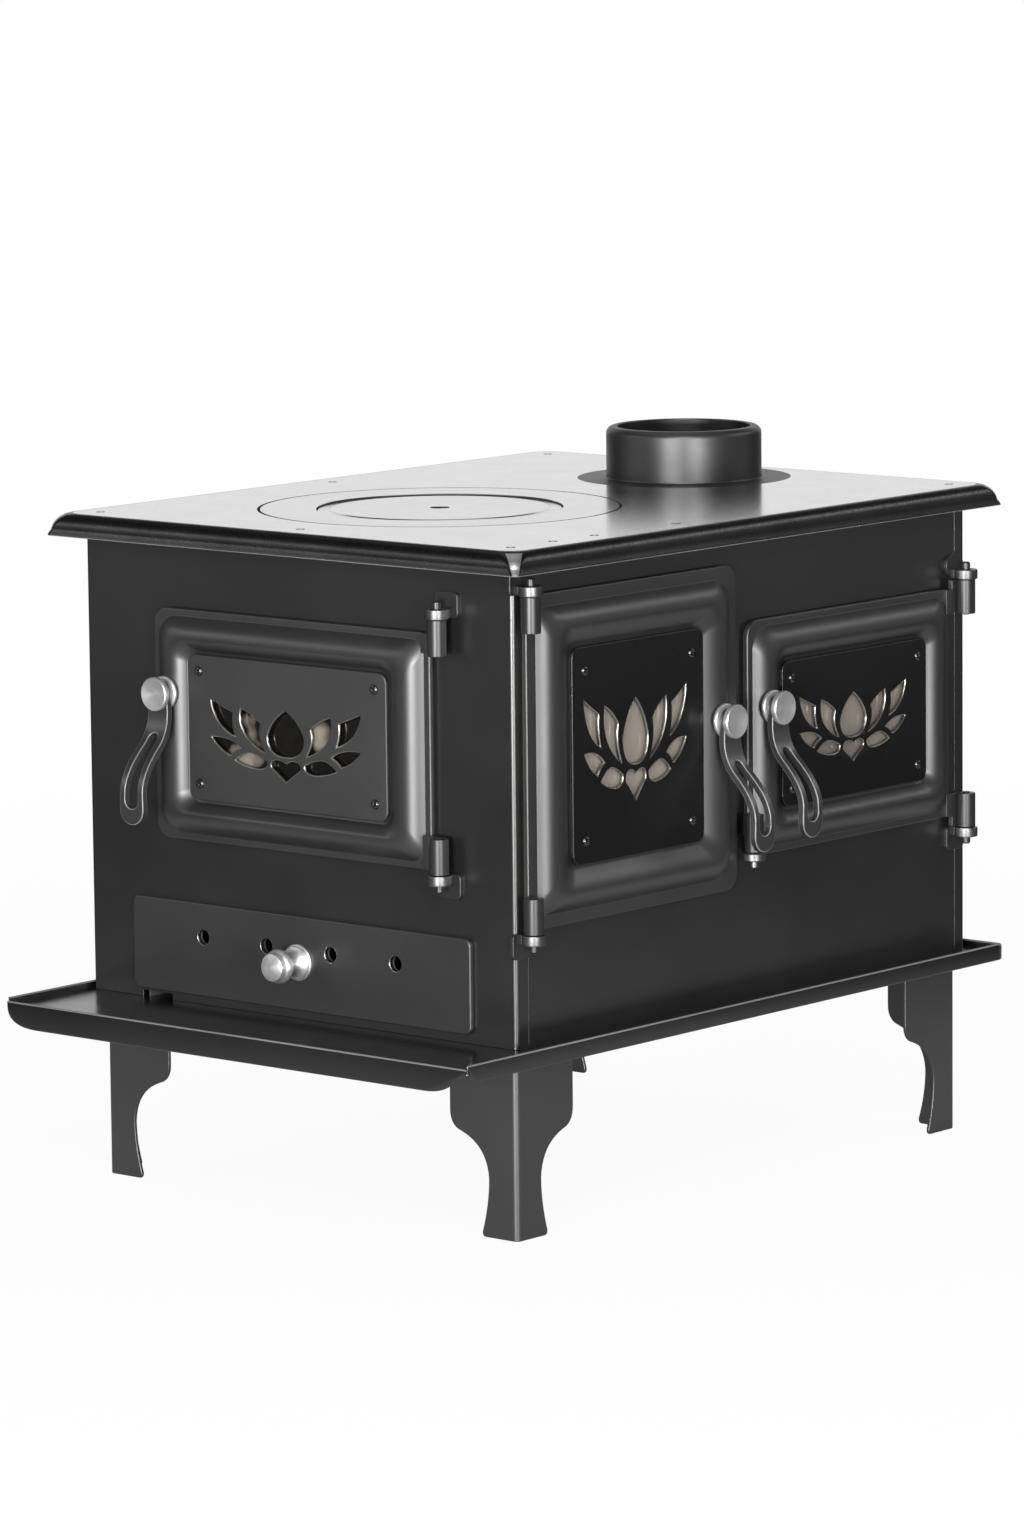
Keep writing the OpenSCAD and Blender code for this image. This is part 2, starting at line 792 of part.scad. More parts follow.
module oven_door_frame() { color("#3a3a3a") from_corner() place_door(OVEN) door_frame(OVEN); }
module oven_vent_plate() { color("#333333") from_corner() place_door(OVEN) vent_plate(OVEN); }
module oven_glass() { color("#6b655f") from_corner() place_door(OVEN) door_glass(OVEN); }
module oven_back_plate() { color("#2b2b2b") from_corner() place_door(OVEN) back_plate(OVEN); }
module oven_seal() { color("#4a4a46") from_corner() place_door(OVEN) door_seal(OVEN); }
module oven_screws() { color("#1a1a1a") from_corner() place_door(OVEN) door_screws(OVEN); }
module oven_handle_knob() { color("#c8c8c8") from_corner() place_door(OVEN) handle_knob(OVEN); }
module oven_handle_strap() { color("#2e2e2e") from_corner() place_door(OVEN) handle_strap(OVEN); }
module oven_handle_latch() { color("#555555") from_corner() place_door(OVEN) handle_latch(OVEN); }

// ---- casing ----

// plan of the folded sheet at one end, before it is cut to the end
module casing_plan() {
    difference() {
        round_rect(0, 0, body_l, body_w, bend_r);
        round_rect(wall_t, wall_t, body_l - wall_t, body_w - wall_t, bend_r - wall_t);
    }
}

// hole behind a door, cut straight through the sheet
module door_hole(i) {
    place_door(i) sheet(-wall_t - 1, 1) door_rect(i, open_in, 12, 12);
}

module fire_end_panel() {
    color("#363636") from_corner() difference() {
        translate([0, 0, base_z]) linear_extrude(body_h) intersection() {
            casing_plan();
            square([corner_return, body_w]);
        }
        door_hole(FIRE);
        translate([-1, drawer_y0 + drawer_open, base_z + 12]) cube(
            [wall_t + 2, drawer_w - 2 * drawer_open, drawer_h - 11]);
        translate([-1, body_w - notch_from_back, base_z - 1]) cube([wall_t + 2, notch_w, 6]);
    }
}

module oven_end_panel() {
    color("#2c2c2c") from_corner() translate([0, 0, base_z]) linear_extrude(body_h)
        intersection() {
            casing_plan();
            translate([body_l - corner_return, 0]) square([corner_return, body_w]);
        }
}

module front_panel() {
    seam = corner_return + 0.3;
    color("#2c2c2c") from_corner() difference() {
        translate([seam, 0, base_z]) cube([body_l - 2 * seam, wall_t, body_h]);
        door_hole(WINDOW);
        door_hole(OVEN);
    }
}

module back_panel() {
    seam = corner_return + 0.3;
    color("#2c2c2c") from_corner() translate([seam, body_w - wall_t, base_z])
        cube([body_l - 2 * seam, wall_t, body_h]);
}

// ---- tray and legs ----

// strip along the fire end: a round back end, and a front end that sweeps up to the corner
module tray_strip_fire() {
    low = base_z - skirt_fire;
    high = base_z + lip_fire;
    mid = low + 0.42 * (leg_h - low);
    y0 = -tray_front;
    y1 = body_w + tray_back;
    // drawn along z and y
    translate([-tray_fire + 2.5, 0, 0]) rotate([0, -90, 0]) linear_extrude(2.5)
        polygon(concat(
            [[high, y0]],
            bow([leg_h, y0], [leg_h - 0.5, y0 + 11], [mid, y0 + 18]),
            bow([mid, y0 + 18], [low, y0 + 27], [low, y0 + 45]),
            bow([low, y1 - tip_round], [low, y1], [high - 4, y1], 10),
            [[high - 4, y1], [high, y1]]
        ));
}

module base_tray() {
    x0 = -tray_fire;
    x1 = body_l + tray_oven;
    y0 = -tray_front;
    y1 = body_w + tray_back;
    low = base_z - skirt_side;
    tall = skirt_side + lip_h;
    color("#303030") from_corner() {
        translate([x0 + 1, y0 + 1, leg_h]) cube([x1 - x0 - 2, y1 - y0 - 2, tray_t]);
        tray_strip_fire();
        translate([x1 - 2.5, y0, low]) cube([2.5, y1 - y0, tall]);
        for (y = [y0, y1 - 2.5]) translate([x0, y, 0]) difference() {
            translate([1.5, 0, low]) cube([x1 - x0 - 2.5, 2.5, tall]);
            // the fire end of each side strip is hollowed by a round up to the plate
            translate([0, -1, leg_h - arch_r]) rotate([-90, 0, 0]) cylinder(r = arch_r, h = 5);
        }
    }
}

// half of a leg wing, out from the fold and up
function leg_outline() = concat(
    [[0, 0], [leg_foot - 3, 0]],
    bow([leg_foot - 3, 0], [leg_foot, 0], [leg_foot, 4], 4),
    bow([leg_foot, 4], [leg_waist, leg_h * 0.18], [leg_waist, leg_h * 0.31], 8),
    bow([leg_waist, leg_h * 0.31], [leg_waist + 1.5, leg_h * 0.48],
        [leg_wide - 12, leg_h * 0.54], 10),
    bow([leg_wide - 12, leg_h * 0.54], [leg_wide, leg_h * 0.56], [leg_wide, leg_h * 0.65], 8),
    [[leg_wide, leg_h * 0.65], [leg_wide, leg_h], [0, leg_h]]
);

// bent plate with its fold at the origin and its wings along +x and +y
module leg_shape() {
    intersection() {
        linear_extrude(leg_h) difference() {
            round_rect(0, 0, leg_wide + 20, leg_wide + 20, 5);
            round_rect(leg_t, leg_t, leg_wide + 60, leg_wide + 60, 2);
        }
        union() {
            translate([0, 5.5, 0]) rotate([90, 0, 0]) linear_extrude(6) polygon(leg_outline());
            translate([-0.5, 0, 0]) rotate([90, 0, 90]) linear_extrude(6) polygon(leg_outline());
        }
    }
}

module leg_fire_front() {
    color("#3c3c3c") from_corner() translate([leg_inset, leg_inset, 0]) leg_shape();
}

module leg_fire_back() {
    color("#3c3c3c") from_corner() translate([leg_inset, body_w - leg_inset, 0])
        mirror([0, 1, 0]) leg_shape();
}

module leg_oven_front() {
    color("#3c3c3c") from_corner() translate([body_l - leg_inset_oven, leg_inset, 0])
        mirror([1, 0, 0]) leg_shape();
}

module leg_oven_back() {
    color("#3c3c3c") from_corner() translate([body_l - leg_inset_oven, body_w - leg_inset, 0])
        rotate([0, 0, 180]) leg_shape();
}

// ---- top ----

module rim_level(inset, z, r) {
    translate([0, 0, z]) linear_extrude(0.05) round_rect(-overhang + inset,
        -overhang + inset, body_l + overhang - inset, body_w + overhang - inset, r);
}

module rim_hollow(inset, z0, z1) {
    translate([0, 0, z0]) linear_extrude(z1 - z0) round_rect(-overhang + inset,
        -overhang + inset, body_l + overhang - inset, body_w + overhang - inset, 5);
}

screw_in = 9;
function top_screw_spots() = concat(
    [for (k = [0, 1, 2, 4]) [screw_in + 50 * k, screw_in]],
    [[body_l - screw_in, screw_in]],
    [for (x = [screw_in, body_l / 2, body_l - screw_in]) [x, body_w - screw_in]],
    [[screw_in, body_w / 2]]
);

module top_plate() {
    round_r = 9;
    round_h = rim_h - 5;
    color("#d0d0d0") from_corner() difference() {
        hull() {
            rim_level(0, rim_z, 6);
            rim_level(1.5, rim_z + 5, 8);
            for (s = [0.25:0.25:1]) rim_level(1.5 + round_r * (1 - cos(90 * s)),
                rim_z + 5 + round_h * sin(90 * s) - 0.05 * s, 8 + (top_corner_r - 8) * s);
        }
        // the rim is hollow below, a little narrower above
        rim_hollow(skirt_t, rim_z - 1, rim_z + 6);
        rim_hollow(skirt_t + 3, rim_z + 5, deck_z);
        translate([hot_x, hot_y, deck_z - 1]) cylinder(r = hot_r, h = top_t + 2, $fn = 96);
        translate([flue_x, flue_y, deck_z - 1]) cylinder(r = flue_bore + 1.5, h = top_t + 2);
        translate([flue_x, flue_y, top_z - flue_flange_t])
            cylinder(r = flue_flange_r + 0.3, h = 5, $fn = 96);
        for (p = top_screw_spots()) translate([p[0], p[1], 0]) {
            translate([0, 0, deck_z - 1]) cylinder(r = 2.05, h = top_t - 0.8);
            translate([0, 0, top_z - 2.3]) cylinder(r1 = 1.85, r2 = 4.15, h = 2.3);
        }
    }
}

module top_screws() {
    color("#b8b8b8") from_corner() for (p = top_screw_spots())
        translate([p[0], p[1], 0]) difference() {
            union() {
                translate([0, 0, deck_z - 4]) cylinder(r = 2, h = top_t + 2);
                translate([0, 0, top_z - 2.05]) cylinder(r1 = 2, r2 = 4.05, h = 2.05);
            }
            translate([0, 0, top_z - 1]) cylinder(r = 1.5, h = 2, $fn = 6);
        }
}

module top_frame() {
    a = wall_t + inner_gap;
    color("#2a2a2a") from_corner() difference() {
        translate([0, 0, deck_z - 3]) linear_extrude(3) difference() {
            round_rect(a, a, body_l - a, body_w - a, bend_r);
            round_rect(a + 20, a + 20, body_l - a - 20, body_w - a - 20, 4);
        }
        for (p = top_screw_spots()) translate([p[0], p[1], deck_z - 5]) cylinder(r = 2.05, h = 9);
    }
}

module hotplate_seat() {
    color("#2a2a2a") from_corner() translate([hot_x, hot_y, deck_z - seat_t]) difference() {
        cylinder(r = seat_r1, h = seat_t, $fn = 96);
        translate([0, 0, -1]) cylinder(r = seat_r0, h = seat_t + 2, $fn = 96);
    }
}

module hotplate_ring() {
    color("#c4c4c4") from_corner() translate([hot_x, hot_y, 0]) difference() {
        union() {
            translate([0, 0, deck_z + lift_gap]) cylinder(r = ring_r, h = top_t - lift_gap, $fn = 96);
            translate([0, 0, ledge_z - 3]) cylinder(r = cast_r, h = 6, $fn = 96);
        }
        translate([0, 0, ledge_z - 5]) cylinder(r = ledge_r, h = top_t + 10, $fn = 96);
        translate([0, 0, ledge_z]) cylinder(r = lid_r + ring_gap, h = top_t + 10, $fn = 96);
    }
}

module hotplate_lid() {
    pocket_z = lid_z + 1.4;
    color("#c4c4c4") from_corner() translate([hot_x, hot_y, 0]) {
        difference() {
            union() {
                translate([0, 0, lid_z]) cylinder(r = lid_r, h = top_z - 1.5 - lid_z, $fn = 96);
                translate([0, 0, top_z - 2]) cylinder(r = lid_r - 9.5, h = 1.5, $fn = 96);
            }
            translate([0, 0, pocket_z]) cylinder(r = 8, h = 20);
        }
        translate([-8.5, 0, top_z - 3]) rotate([0, 90, 0]) cylinder(r = 1.5, h = 17);
    }
}

module flue_collar() {
    h = flue_h;
    r = flue_r;
    round_r = 6;
    low = top_z - flue_flange_t;
    color("#3a3a3a") from_corner() translate([flue_x, flue_y, low]) rotate_extrude($fn = 96)
        polygon(concat(
            [[flue_bore, 0], [flue_flange_r, 0], [flue_flange_r, flue_flange_t],
             [r + 1.5, flue_flange_t], [r, flue_flange_t + 1.5]],
            [for (k = [0:15:90]) [r - round_r + round_r * cos(k),
                flue_flange_t + h - round_r + round_r * sin(k)]],
            [[flue_bore + 1, flue_flange_t + h], [flue_bore, flue_flange_t + h - 1]]
        ));
}

// ---- fire side ----

module firebox_partition() {
    a = wall_t + inner_gap;
    color("#3a3a3a") from_corner() translate([part_x, a, base_z])
        cube([part_t, body_w - 2 * a, part_top - base_z]);
}

module firebox_floor() {
    a = wall_t + fold_gap;
    color("#3a3a3a") from_corner() difference() {
        translate([a, a, floor_z]) cube([part_x - inner_gap - a, body_w - 2 * a, floor_t]);
        translate([grate_x - grate_w / 2 + 8, grate_y - grate_l / 2 + 8, floor_z - 1])
            cube([grate_w - 16, grate_l - 16, floor_t + 2]);
    }
}

module grate() {
    bars = 7;
    gap = (grate_w - 30 - 8 * (bars - 1)) / bars;
    color("#2f2c2a") from_corner() translate([grate_x, grate_y, brick_z]) difference() {
        linear_extrude(grate_t) round_rect(-grate_w / 2, -grate_l / 2, grate_w / 2,
            grate_l / 2, 10);
        for (k = [0:bars - 1]) translate([-grate_w / 2 + 15 + k * (gap + 8), -grate_l / 2 + 15, -1])
            cube([gap, grate_l - 30, grate_t + 2]);
    }
}

module firebricks_side() {
    y0 = brick_y0;
    step = (body_w - wall_t - fold_gap - brick_t - 1 - y0) / 3;
    color("#b59a78") from_corner() for (k = [0:2])
        translate([part_x - inner_gap - brick_t, y0 + k * step, brick_z])
            cube([brick_t, step - 1, brick_top - brick_z]);
}

module firebricks_back() {
    a = wall_t + fold_gap;
    step = (part_x - inner_gap - a) / 3;
    color("#b59a78") from_corner() for (k = [0:2])
        translate([a + k * step, body_w - a - brick_t, brick_z])
            cube([step - 1, brick_t, brick_top - brick_z]);
}

// ---- oven side ----

module oven_box() {
    y0 = wall_t + inner_gap;
    x0 = oven_box_x0;
    z0 = oven_box_z0;
    wide = oven_box_x1 - x0;
    tall = oven_box_z1 - z0;
    color("#4a4846") from_corner() difference() {
        translate([x0, y0, z0]) cube([wide, oven_box_y1 - y0, tall]);
        translate([x0 + oven_t, y0 - 1, z0 + oven_t])
            cube([wide - 2 * oven_t, oven_box_y1 - y0 + 1 - oven_t, tall - 2 * oven_t]);
    }
}

module oven_rails() {
    x0 = oven_box_x0 + oven_t;
    x1 = oven_box_x1 - oven_t;
    long = oven_box_y1 - oven_t - rail_y0 - inner_gap;
    color("#8a8886") from_corner() for (x = [x0, x1 - rail_w])
        translate([x, rail_y0, rack_z - 2]) cube([rail_w, long, 2]);
}

module oven_rack() {
    y0 = rack_y0;
    y1 = oven_box_y1 - oven_t - 6;
    z = rack_z + rod_r;
    n = 11;
    pitch = (y1 - y0 - 2 * rod_r) / (n - 1);
    color("#c9c9c9") from_corner() {
        for (x = [rack_x0 + rod_r, rack_x1 - rod_r]) translate([x, y0, z])
            rotate([-90, 0, 0]) cylinder(r = rod_r, h = y1 - y0, $fn = 24);
        for (k = [0:n - 1]) translate([rack_x0 + rod_r, y0 + rod_r + k * pitch, z])
            rotate([0, 90, 0]) cylinder(r = rod_r - 0.2, h = rack_x1 - rack_x0 - 2 * rod_r, $fn = 24);
    }
}

// ---- ash drawer ----

module drawer_guides() {
    y0 = drawer_y0 + box_in;
    y1 = drawer_y0 + drawer_w - box_in;
    x0 = wall_t + inner_gap;
    long = drawer_l + 1;
    color("#2a2a2a") from_corner() for (s = [0, 1]) {
        wall_y = s == 0 ? y0 - 5 : y1 + 5 - guide_t;
        shelf_y = s == 0 ? y0 - 5 : y1 + 5 - guide_w;
        translate([x0, wall_y, base_z]) cube([long, guide_t, guide_h]);
        translate([x0, shelf_y, guide_z - guide_t]) cube([long, guide_w, guide_t]);
    }
}

module drawer_box() {
    y0 = drawer_y0 + box_in;
    wide = drawer_w - 2 * box_in;
    color("#4c4c4c") from_corner() difference() {
        translate([-drawer_gap, y0, box_z]) cube([drawer_l + drawer_gap, wide, box_h]);
        translate([-drawer_gap + box_t, y0 + box_t, box_z + box_t])
            cube([drawer_l + drawer_gap - 2 * box_t, wide - 2 * box_t, box_h]);
        air_holes();
        translate([-drawer_gap - 1, drawer_y, knob_z]) rotate([0, 90, 0]) cylinder(r = 2.05, h = 4);
    }
}

module air_holes() {
    for (k = [-1.5:1:1.5]) translate([-drawer_gap - drawer_t - 1, drawer_y + k * air_step, air_z])
        rotate([0, 90, 0]) cylinder(r = air_r, h = drawer_t + drawer_gap + box_t + 2);
}

module drawer_front() {
    color("#3a3a3a") from_corner() difference() {
        translate([-drawer_gap - drawer_t, 0, 0]) rotate([90, 0, 90]) linear_extrude(drawer_t)
            round_rect(drawer_y0, drawer_z, drawer_y0 + drawer_w, drawer_z + drawer_h, 6);
        air_holes();
        translate([-drawer_gap - drawer_t - 1, drawer_y, knob_z]) rotate([0, 90, 0])
            cylinder(r = 2.05, h = drawer_t + 2);
    }
}

module drawer_knob() {
    r = drawer_knob_r;
    color("#c8c8c8") from_corner()
        translate([-drawer_gap - drawer_t, drawer_y, knob_z]) rotate([0, -90, 0])
            difference() {
                rotate_extrude() polygon(concat(
                    [[0, 0], [r + 0.8, 0], [r + 1, 1.5], [r - 0.4, 2.4], [r, 3.4], [r - 0.6, 4.6],
                     [r - 2.6, 5.2], [r - 5.5, 8], [r - 7, 11], [r - 7, 14], [r - 5.5, 16]],
                    [for (k = [-60:15:30]) [r * cos(k), 23 + 8 * sin(k)]],
                    [[r * 0.78, 31.6], [0, 34.5]]
                ));
                translate([0, 0, -1]) cylinder(r = 2.05, h = 13);
            }
}

module drawer_knob_screw() {
    inside = -drawer_gap + box_t;
    color("#9a9a9a") from_corner() translate([inside, drawer_y, knob_z]) rotate([0, -90, 0]) {
        cylinder(r = 2, h = knob_screw_l);
        translate([0, 0, -2.5]) cylinder(r = 4, h = 2.5);
    }
}

base_tray();
leg_fire_front();
leg_fire_back();
leg_oven_front();
leg_oven_back();
fire_end_panel();
front_panel();
oven_end_panel();
back_panel();
top_frame();
top_plate();
top_screws();
hotplate_seat();
hotplate_ring();
hotplate_lid();
flue_collar();
firebox_partition();
firebox_floor();
grate();
firebricks_side();
firebricks_back();
oven_box();
oven_rails();
oven_rack();
drawer_guides();
drawer_box();
drawer_front();
drawer_knob();
drawer_knob_screw();
hinge_brackets();
hinge_pins();
oven_door_spare_knuckle();
fire_door_frame();
fire_vent_plate();
fire_glass();
fire_back_plate();
fire_seal();
fire_screws();
fire_handle_knob();
fire_handle_strap();
fire_handle_latch();
window_door_frame();
window_vent_plate();
window_glass();
window_back_plate();
window_seal();
window_screws();
window_handle_knob();
window_handle_strap();
window_handle_latch();
oven_door_frame();
oven_vent_plate();
oven_glass();
oven_back_plate();
oven_seal();
oven_screws();
oven_handle_knob();
oven_handle_strap();
oven_handle_latch();
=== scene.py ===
"""The looks of a steel cook stove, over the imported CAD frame.

Positions are written in the stove's own millimetres, measured from the near casing corner:
x runs along the front to the right, y to the back and z up. at() turns them into metres in
the shared frame. A door has its own directions: x from its free edge, v outward, z up.
"""

import json
import math

import bmesh
import bpy
from mathutils import Matrix, Vector

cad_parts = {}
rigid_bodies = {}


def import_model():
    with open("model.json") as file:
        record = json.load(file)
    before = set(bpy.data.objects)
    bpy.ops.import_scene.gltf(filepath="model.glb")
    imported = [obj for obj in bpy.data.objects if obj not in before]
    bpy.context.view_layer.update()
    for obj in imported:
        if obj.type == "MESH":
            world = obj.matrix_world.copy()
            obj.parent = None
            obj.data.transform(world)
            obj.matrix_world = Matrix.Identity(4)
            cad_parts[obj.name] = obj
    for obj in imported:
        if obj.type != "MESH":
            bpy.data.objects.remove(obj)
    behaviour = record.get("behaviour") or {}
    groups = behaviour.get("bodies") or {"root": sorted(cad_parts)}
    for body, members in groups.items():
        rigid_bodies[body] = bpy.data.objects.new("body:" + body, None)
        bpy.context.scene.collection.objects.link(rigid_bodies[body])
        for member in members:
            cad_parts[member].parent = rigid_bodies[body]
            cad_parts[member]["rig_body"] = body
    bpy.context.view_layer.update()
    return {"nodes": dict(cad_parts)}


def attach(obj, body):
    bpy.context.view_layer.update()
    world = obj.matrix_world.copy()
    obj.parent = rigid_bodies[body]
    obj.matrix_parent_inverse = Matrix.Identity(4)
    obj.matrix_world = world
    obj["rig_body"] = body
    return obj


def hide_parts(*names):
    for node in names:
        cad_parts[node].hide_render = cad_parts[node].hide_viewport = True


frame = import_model()

MM = 0.001
UP = (0, 0, 1)

# middle of the stove's whole outline, where the shared frame has its origin
MID_X, MID_Y = 251.0, 206.5
# casing, and heights of the tray's two faces, the plate's underside and the cooking surface
BODY_L, BODY_W = 574.0, 447.0
LEG_H, BASE_Z, DECK_Z, TOP_Z = 149.0, 152.0, 533.0, 538.0
OVERHANG = 23.0
# middles of the flue hole and of the cooking hole
FLUE_AT = (487.0, 225.0)
HOT_AT = (194.0, 240.0)

# points in a quarter round, a quadratic curve, a ring and a screw head
CORNER_STEPS, BOW_STEPS, RING_STEPS, SCREW_STEPS = 10, 14, 48, 36

def at(x, y, z):
    """A place in the stove's millimetres as metres in the shared frame."""
    return Vector(((x - MID_X) * MM, (y - MID_Y) * MM, z * MM))

# ------ doors

# w, h         width and height
# mx, mz       margins beside and over the cut-out plate
# grip         place of the handle
# foot, fall   where the moulding starts, and how far before the plate its inner slope bends
# out          reach of the hinge line beyond the edge
# up, low      top of the upper barrel and foot of the lower one
# screw        place of the screws from the plate's corners
# flower(_at)  stretch of the flower cut-out, and its shift from the middle
# place        door millimetres to metres
DOORS = {
    "fire": {
        "w": 289.0, "h": 184.5, "mx": 40.5, "mz": 34.5,
        "grip": (20.5, 118.0), "foot": 6.0, "fall": 6.8,
        "out": 14.6, "up": 196.5, "low": -0.5, "screw": (12.0, 13.0),
        "flower": (1.0, 0.965), "flower_at": (-1.1, 0.0),
        "place": lambda x, v, z: at(-v, 368.0 - x, 284.5 + z),
    },
    "window": {
        "w": 256.5, "h": 259.0, "mx": 48.0, "mz": 45.0,
        "grip": (29.0, 139.0), "foot": 10.5, "fall": 11.6,
        "out": 3.7, "up": 259.4, "low": 0.0, "screw": (15.0, 18.5),
        "flower": (0.797, 1.36), "flower_at": (3.9, 9.6),
        "place": lambda x, v, z: at(265.0 - x, -v, 243.0 + z),
    },
    "oven": {
        "w": 266.0, "h": 189.0, "mx": 38.0, "mz": 36.0,
        "grip": (18.0, 120.0), "foot": 6.0, "fall": 6.8,
        "out": 12.0, "up": 196.0, "low": -8.5, "screw": (12.0, 14.0),
        "flower": (0.89, 0.945), "flower_at": (-2.6, 4.1),
        "place": lambda x, v, z: at(279.0 + x, -v, 266.0 + z),
    },
}

# planes across a door: flange, groove round the plate, back of the plate and crest
FLANGE_BACK_V, FLANGE_V, SEAT_V, GROOVE_V, PLATE_V, CREST_V = 3.0, 6.0, 6.5, 6.9, 9.0, 15.0
PLATE_T, PLATE_CORNER = 2.0, 8.0
CREST_IN = 16.0  # from the foot of the moulding to its crest

HINGE_V, RUN_GAP, HINGE_GAP = 14.0, 0.06, 0.3
PIN_R, BARREL_R, BARREL_L = 3.5, 7.65, 28.0
RING_R, RING_H = 9.5, 8.0
LEAF_V0, LEAF_V1 = 4.5, 8.5
WALL_PLATE_HALF, WALL_PLATE_BEYOND = 11.5, 12.0

SPINDLE_R, KNOB_R, KNOB_EDGE = 4.0, 13.5, 1.2
STRAP_V, STRAP_T, STRAP_L, STRAP_OUT = 19.3, 5.5, 101.0, 57.0
STRAP_TOP_R, STRAP_TIP_R, STRAP_EYE_R = 10.0, 12.5, 7.55
SLOT_TOP_Z, SLOT_TOP_R, SLOT_LOW_Z, SLOT_LOW_R = -37.0, 5.0, -81.0, 7.0
STRAP_SLICE = 1.7

def outward(door):
    """Direction from the casing out through a door."""
    put = door["place"]
    return (put(0, 1, 0) - put(0, 0, 0)).normalized()

def barrel_feet(door):
    """Heights at which a door's upper and lower hinge barrels start."""
    return door["up"] - BARREL_L, door["low"]

# ------ plane outlines

def rounded(x0, z0, x1, z1, radii, steps=CORNER_STEPS):
    """Anticlockwise outline; radii at (x0,z0), (x1,z0), (x1,z1), (x0,z1)."""
    if not isinstance(radii, (list, tuple)):
        radii = [radii] * 4
    corners = [(x0, z0, 1, 1, 180), (x1, z0, -1, 1, 270), (x1, z1, -1, -1, 0), (x0, z1, 1, -1, 90)]
    points = []
    for (x, z, sx, sz, start), r in zip(corners, radii):
        for k in range(steps + 1):
            a = math.radians(start + 90 * k / steps)
            points.append((x + sx * r + r * math.cos(a), z + sz * r + r * math.sin(a)))
    return points

def ring(x, z, r, steps=RING_STEPS):
    """Anticlockwise circle."""
    turns = [math.tau * k / steps for k in range(steps)]
    return [(x + r * math.cos(a), z + r * math.sin(a)) for a in turns]

def arc(x, z, angles, rx, rz=None):
    """Points of a circle, or of an ellipse where rz is given, at angles in degrees."""
    turns = [math.radians(a) for a in angles]
    return [(x + rx * math.cos(a), z + (rz or rx) * math.sin(a)) for a in turns]

def bow(a, b, c, n=BOW_STEPS):
    """Points of a quadratic curve from a to c drawn towards b, without its last point."""
    out = []
    for k in range(n):
        t = k / n
        out.append(tuple(
            (1 - t) ** 2 * a[i] + 2 * t * (1 - t) * b[i] + t * t * c[i] for i in range(2)
        ))
    return out

def petal(*points):
    """Closed outline of bows; points on it and points that draw it towards them take turns."""
    out = []
    for k in range(0, len(points), 2):
        out += bow(points[k], points[k + 1], points[(k + 2) % len(points)])
    return out

def racket(top_z, top_r, low_z, low_r, steps):
    """Anticlockwise outline of two half rounds joined by sides that are cut into steps."""
    right = arc(0, top_z, range(90, -1, -6), top_r)
    right += [(top_r + (low_r - top_r) * k / steps, top_z + (low_z - top_z) * k / steps)
              for k in range(1, steps)]
    right += arc(0, low_z, range(0, -91, -6), low_r)
    return [(-x, z) for x, z in right[1:-1]] + right[::-1]

def area(loop):
    """Signed area, above zero for an anticlockwise loop."""
    return sum(
        loop[i - 1][0] * loop[i][1] - loop[i][0] * loop[i - 1][1] for i in range(len(loop))
    ) / 2

def inward(loop, d):
    """An anticlockwise loop moved inward by d."""
    out = []
    n = len(loop)
    for i in range(n):
        a, b, c = Vector(loop[i - 1]), Vector(loop[i]), Vector(loop[(i + 1) % n])
        e1, e2 = (b - a), (c - b)
        if e1.length < 1e-9 or e2.length < 1e-9:
            out.append(tuple(b))
            continue
        e1.normalize()
        e2.normalize()
        n1, n2 = Vector((-e1.y, e1.x)), Vector((-e2.y, e2.x))
        # a sharp corner is held back, so that its point doesn't run away
        out.append(tuple(b + (n1 + n2) * d / max(1 + n1.dot(n2), 0.35)))
    return out

def flower(door):
    """The nine cut-outs of a door plate, as anticlockwise outlines."""
    middle = petal((0, 21), (15, 12), (19, -1), (19, -16.5), (0, -16.5), (-19, -16.5), (-19, -1),
                   (-15, 12))
    heart = petal((0, -37), (9, -30), (15, -26), (16, -20), (8, -20), (3, -20.5), (0, -22.5),
                  (-3, -20.5), (-8, -20), (-16, -20), (-15, -26), (-9, -30))
    sides = [
        petal((47, 19), (52, -3), (22, -14.5), (31, -2), (26.5, 8), (36, 16)),
        petal((78.4, 24), (75, 3), (53.5, -3.5), (58, 6), (56, 15), (67, 19)),
        petal((77.8, -6.5), (69, -17), (58, -19.5), (54, -15), (48, -13), (59, -5)),
        petal((53, -23.5), (43, -28), (30, -28.5), (19, -28), (20, -22), (35, -15), (42, -17.5),
              (47, -19)),
    ]
    loops = [middle, heart] + sides + [[(-x, z) for x, z in side] for side in sides]
    cx, cz = door["w"] / 2 + door["flower_at"][0], door["h"] / 2 + door["flower_at"][1]
    sx, sz = door["flower"]
    placed = [[(cx + x * sx, cz + z * sz) for x, z in loop] for loop in loops]
    return [loop if area(loop) > 0 else loop[::-1] for loop in placed]

# ------ meshes

EASE = 0.29  # share of a rounded edge's width at which its middle point lies

def stand(name, data):
    """A new object of the scene."""
    obj = bpy.data.objects.new(name, data)
    bpy.context.scene.collection.objects.link(obj)
    return obj

def smooth_mesh(name, bm, materials=(), angle=50):
    """Turns a bmesh in metres into a smooth mesh that is sharp past an angle in degrees."""
    mesh = bpy.data.meshes.new(name)
    bm.to_mesh(mesh)
    bm.free()
    for material in materials:
        mesh.materials.append(material)
    mesh.shade_smooth()
    mesh.set_sharp_from_angle(angle=math.radians(angle))
    return mesh

def weigh_normals(obj, keep_sharp):
    """Normals follow the large faces, so that narrow rounded edges catch the light evenly."""
    weigh = obj.modifiers.new("weigh", "WEIGHTED_NORMAL")
    weigh.keep_sharp = keep_sharp

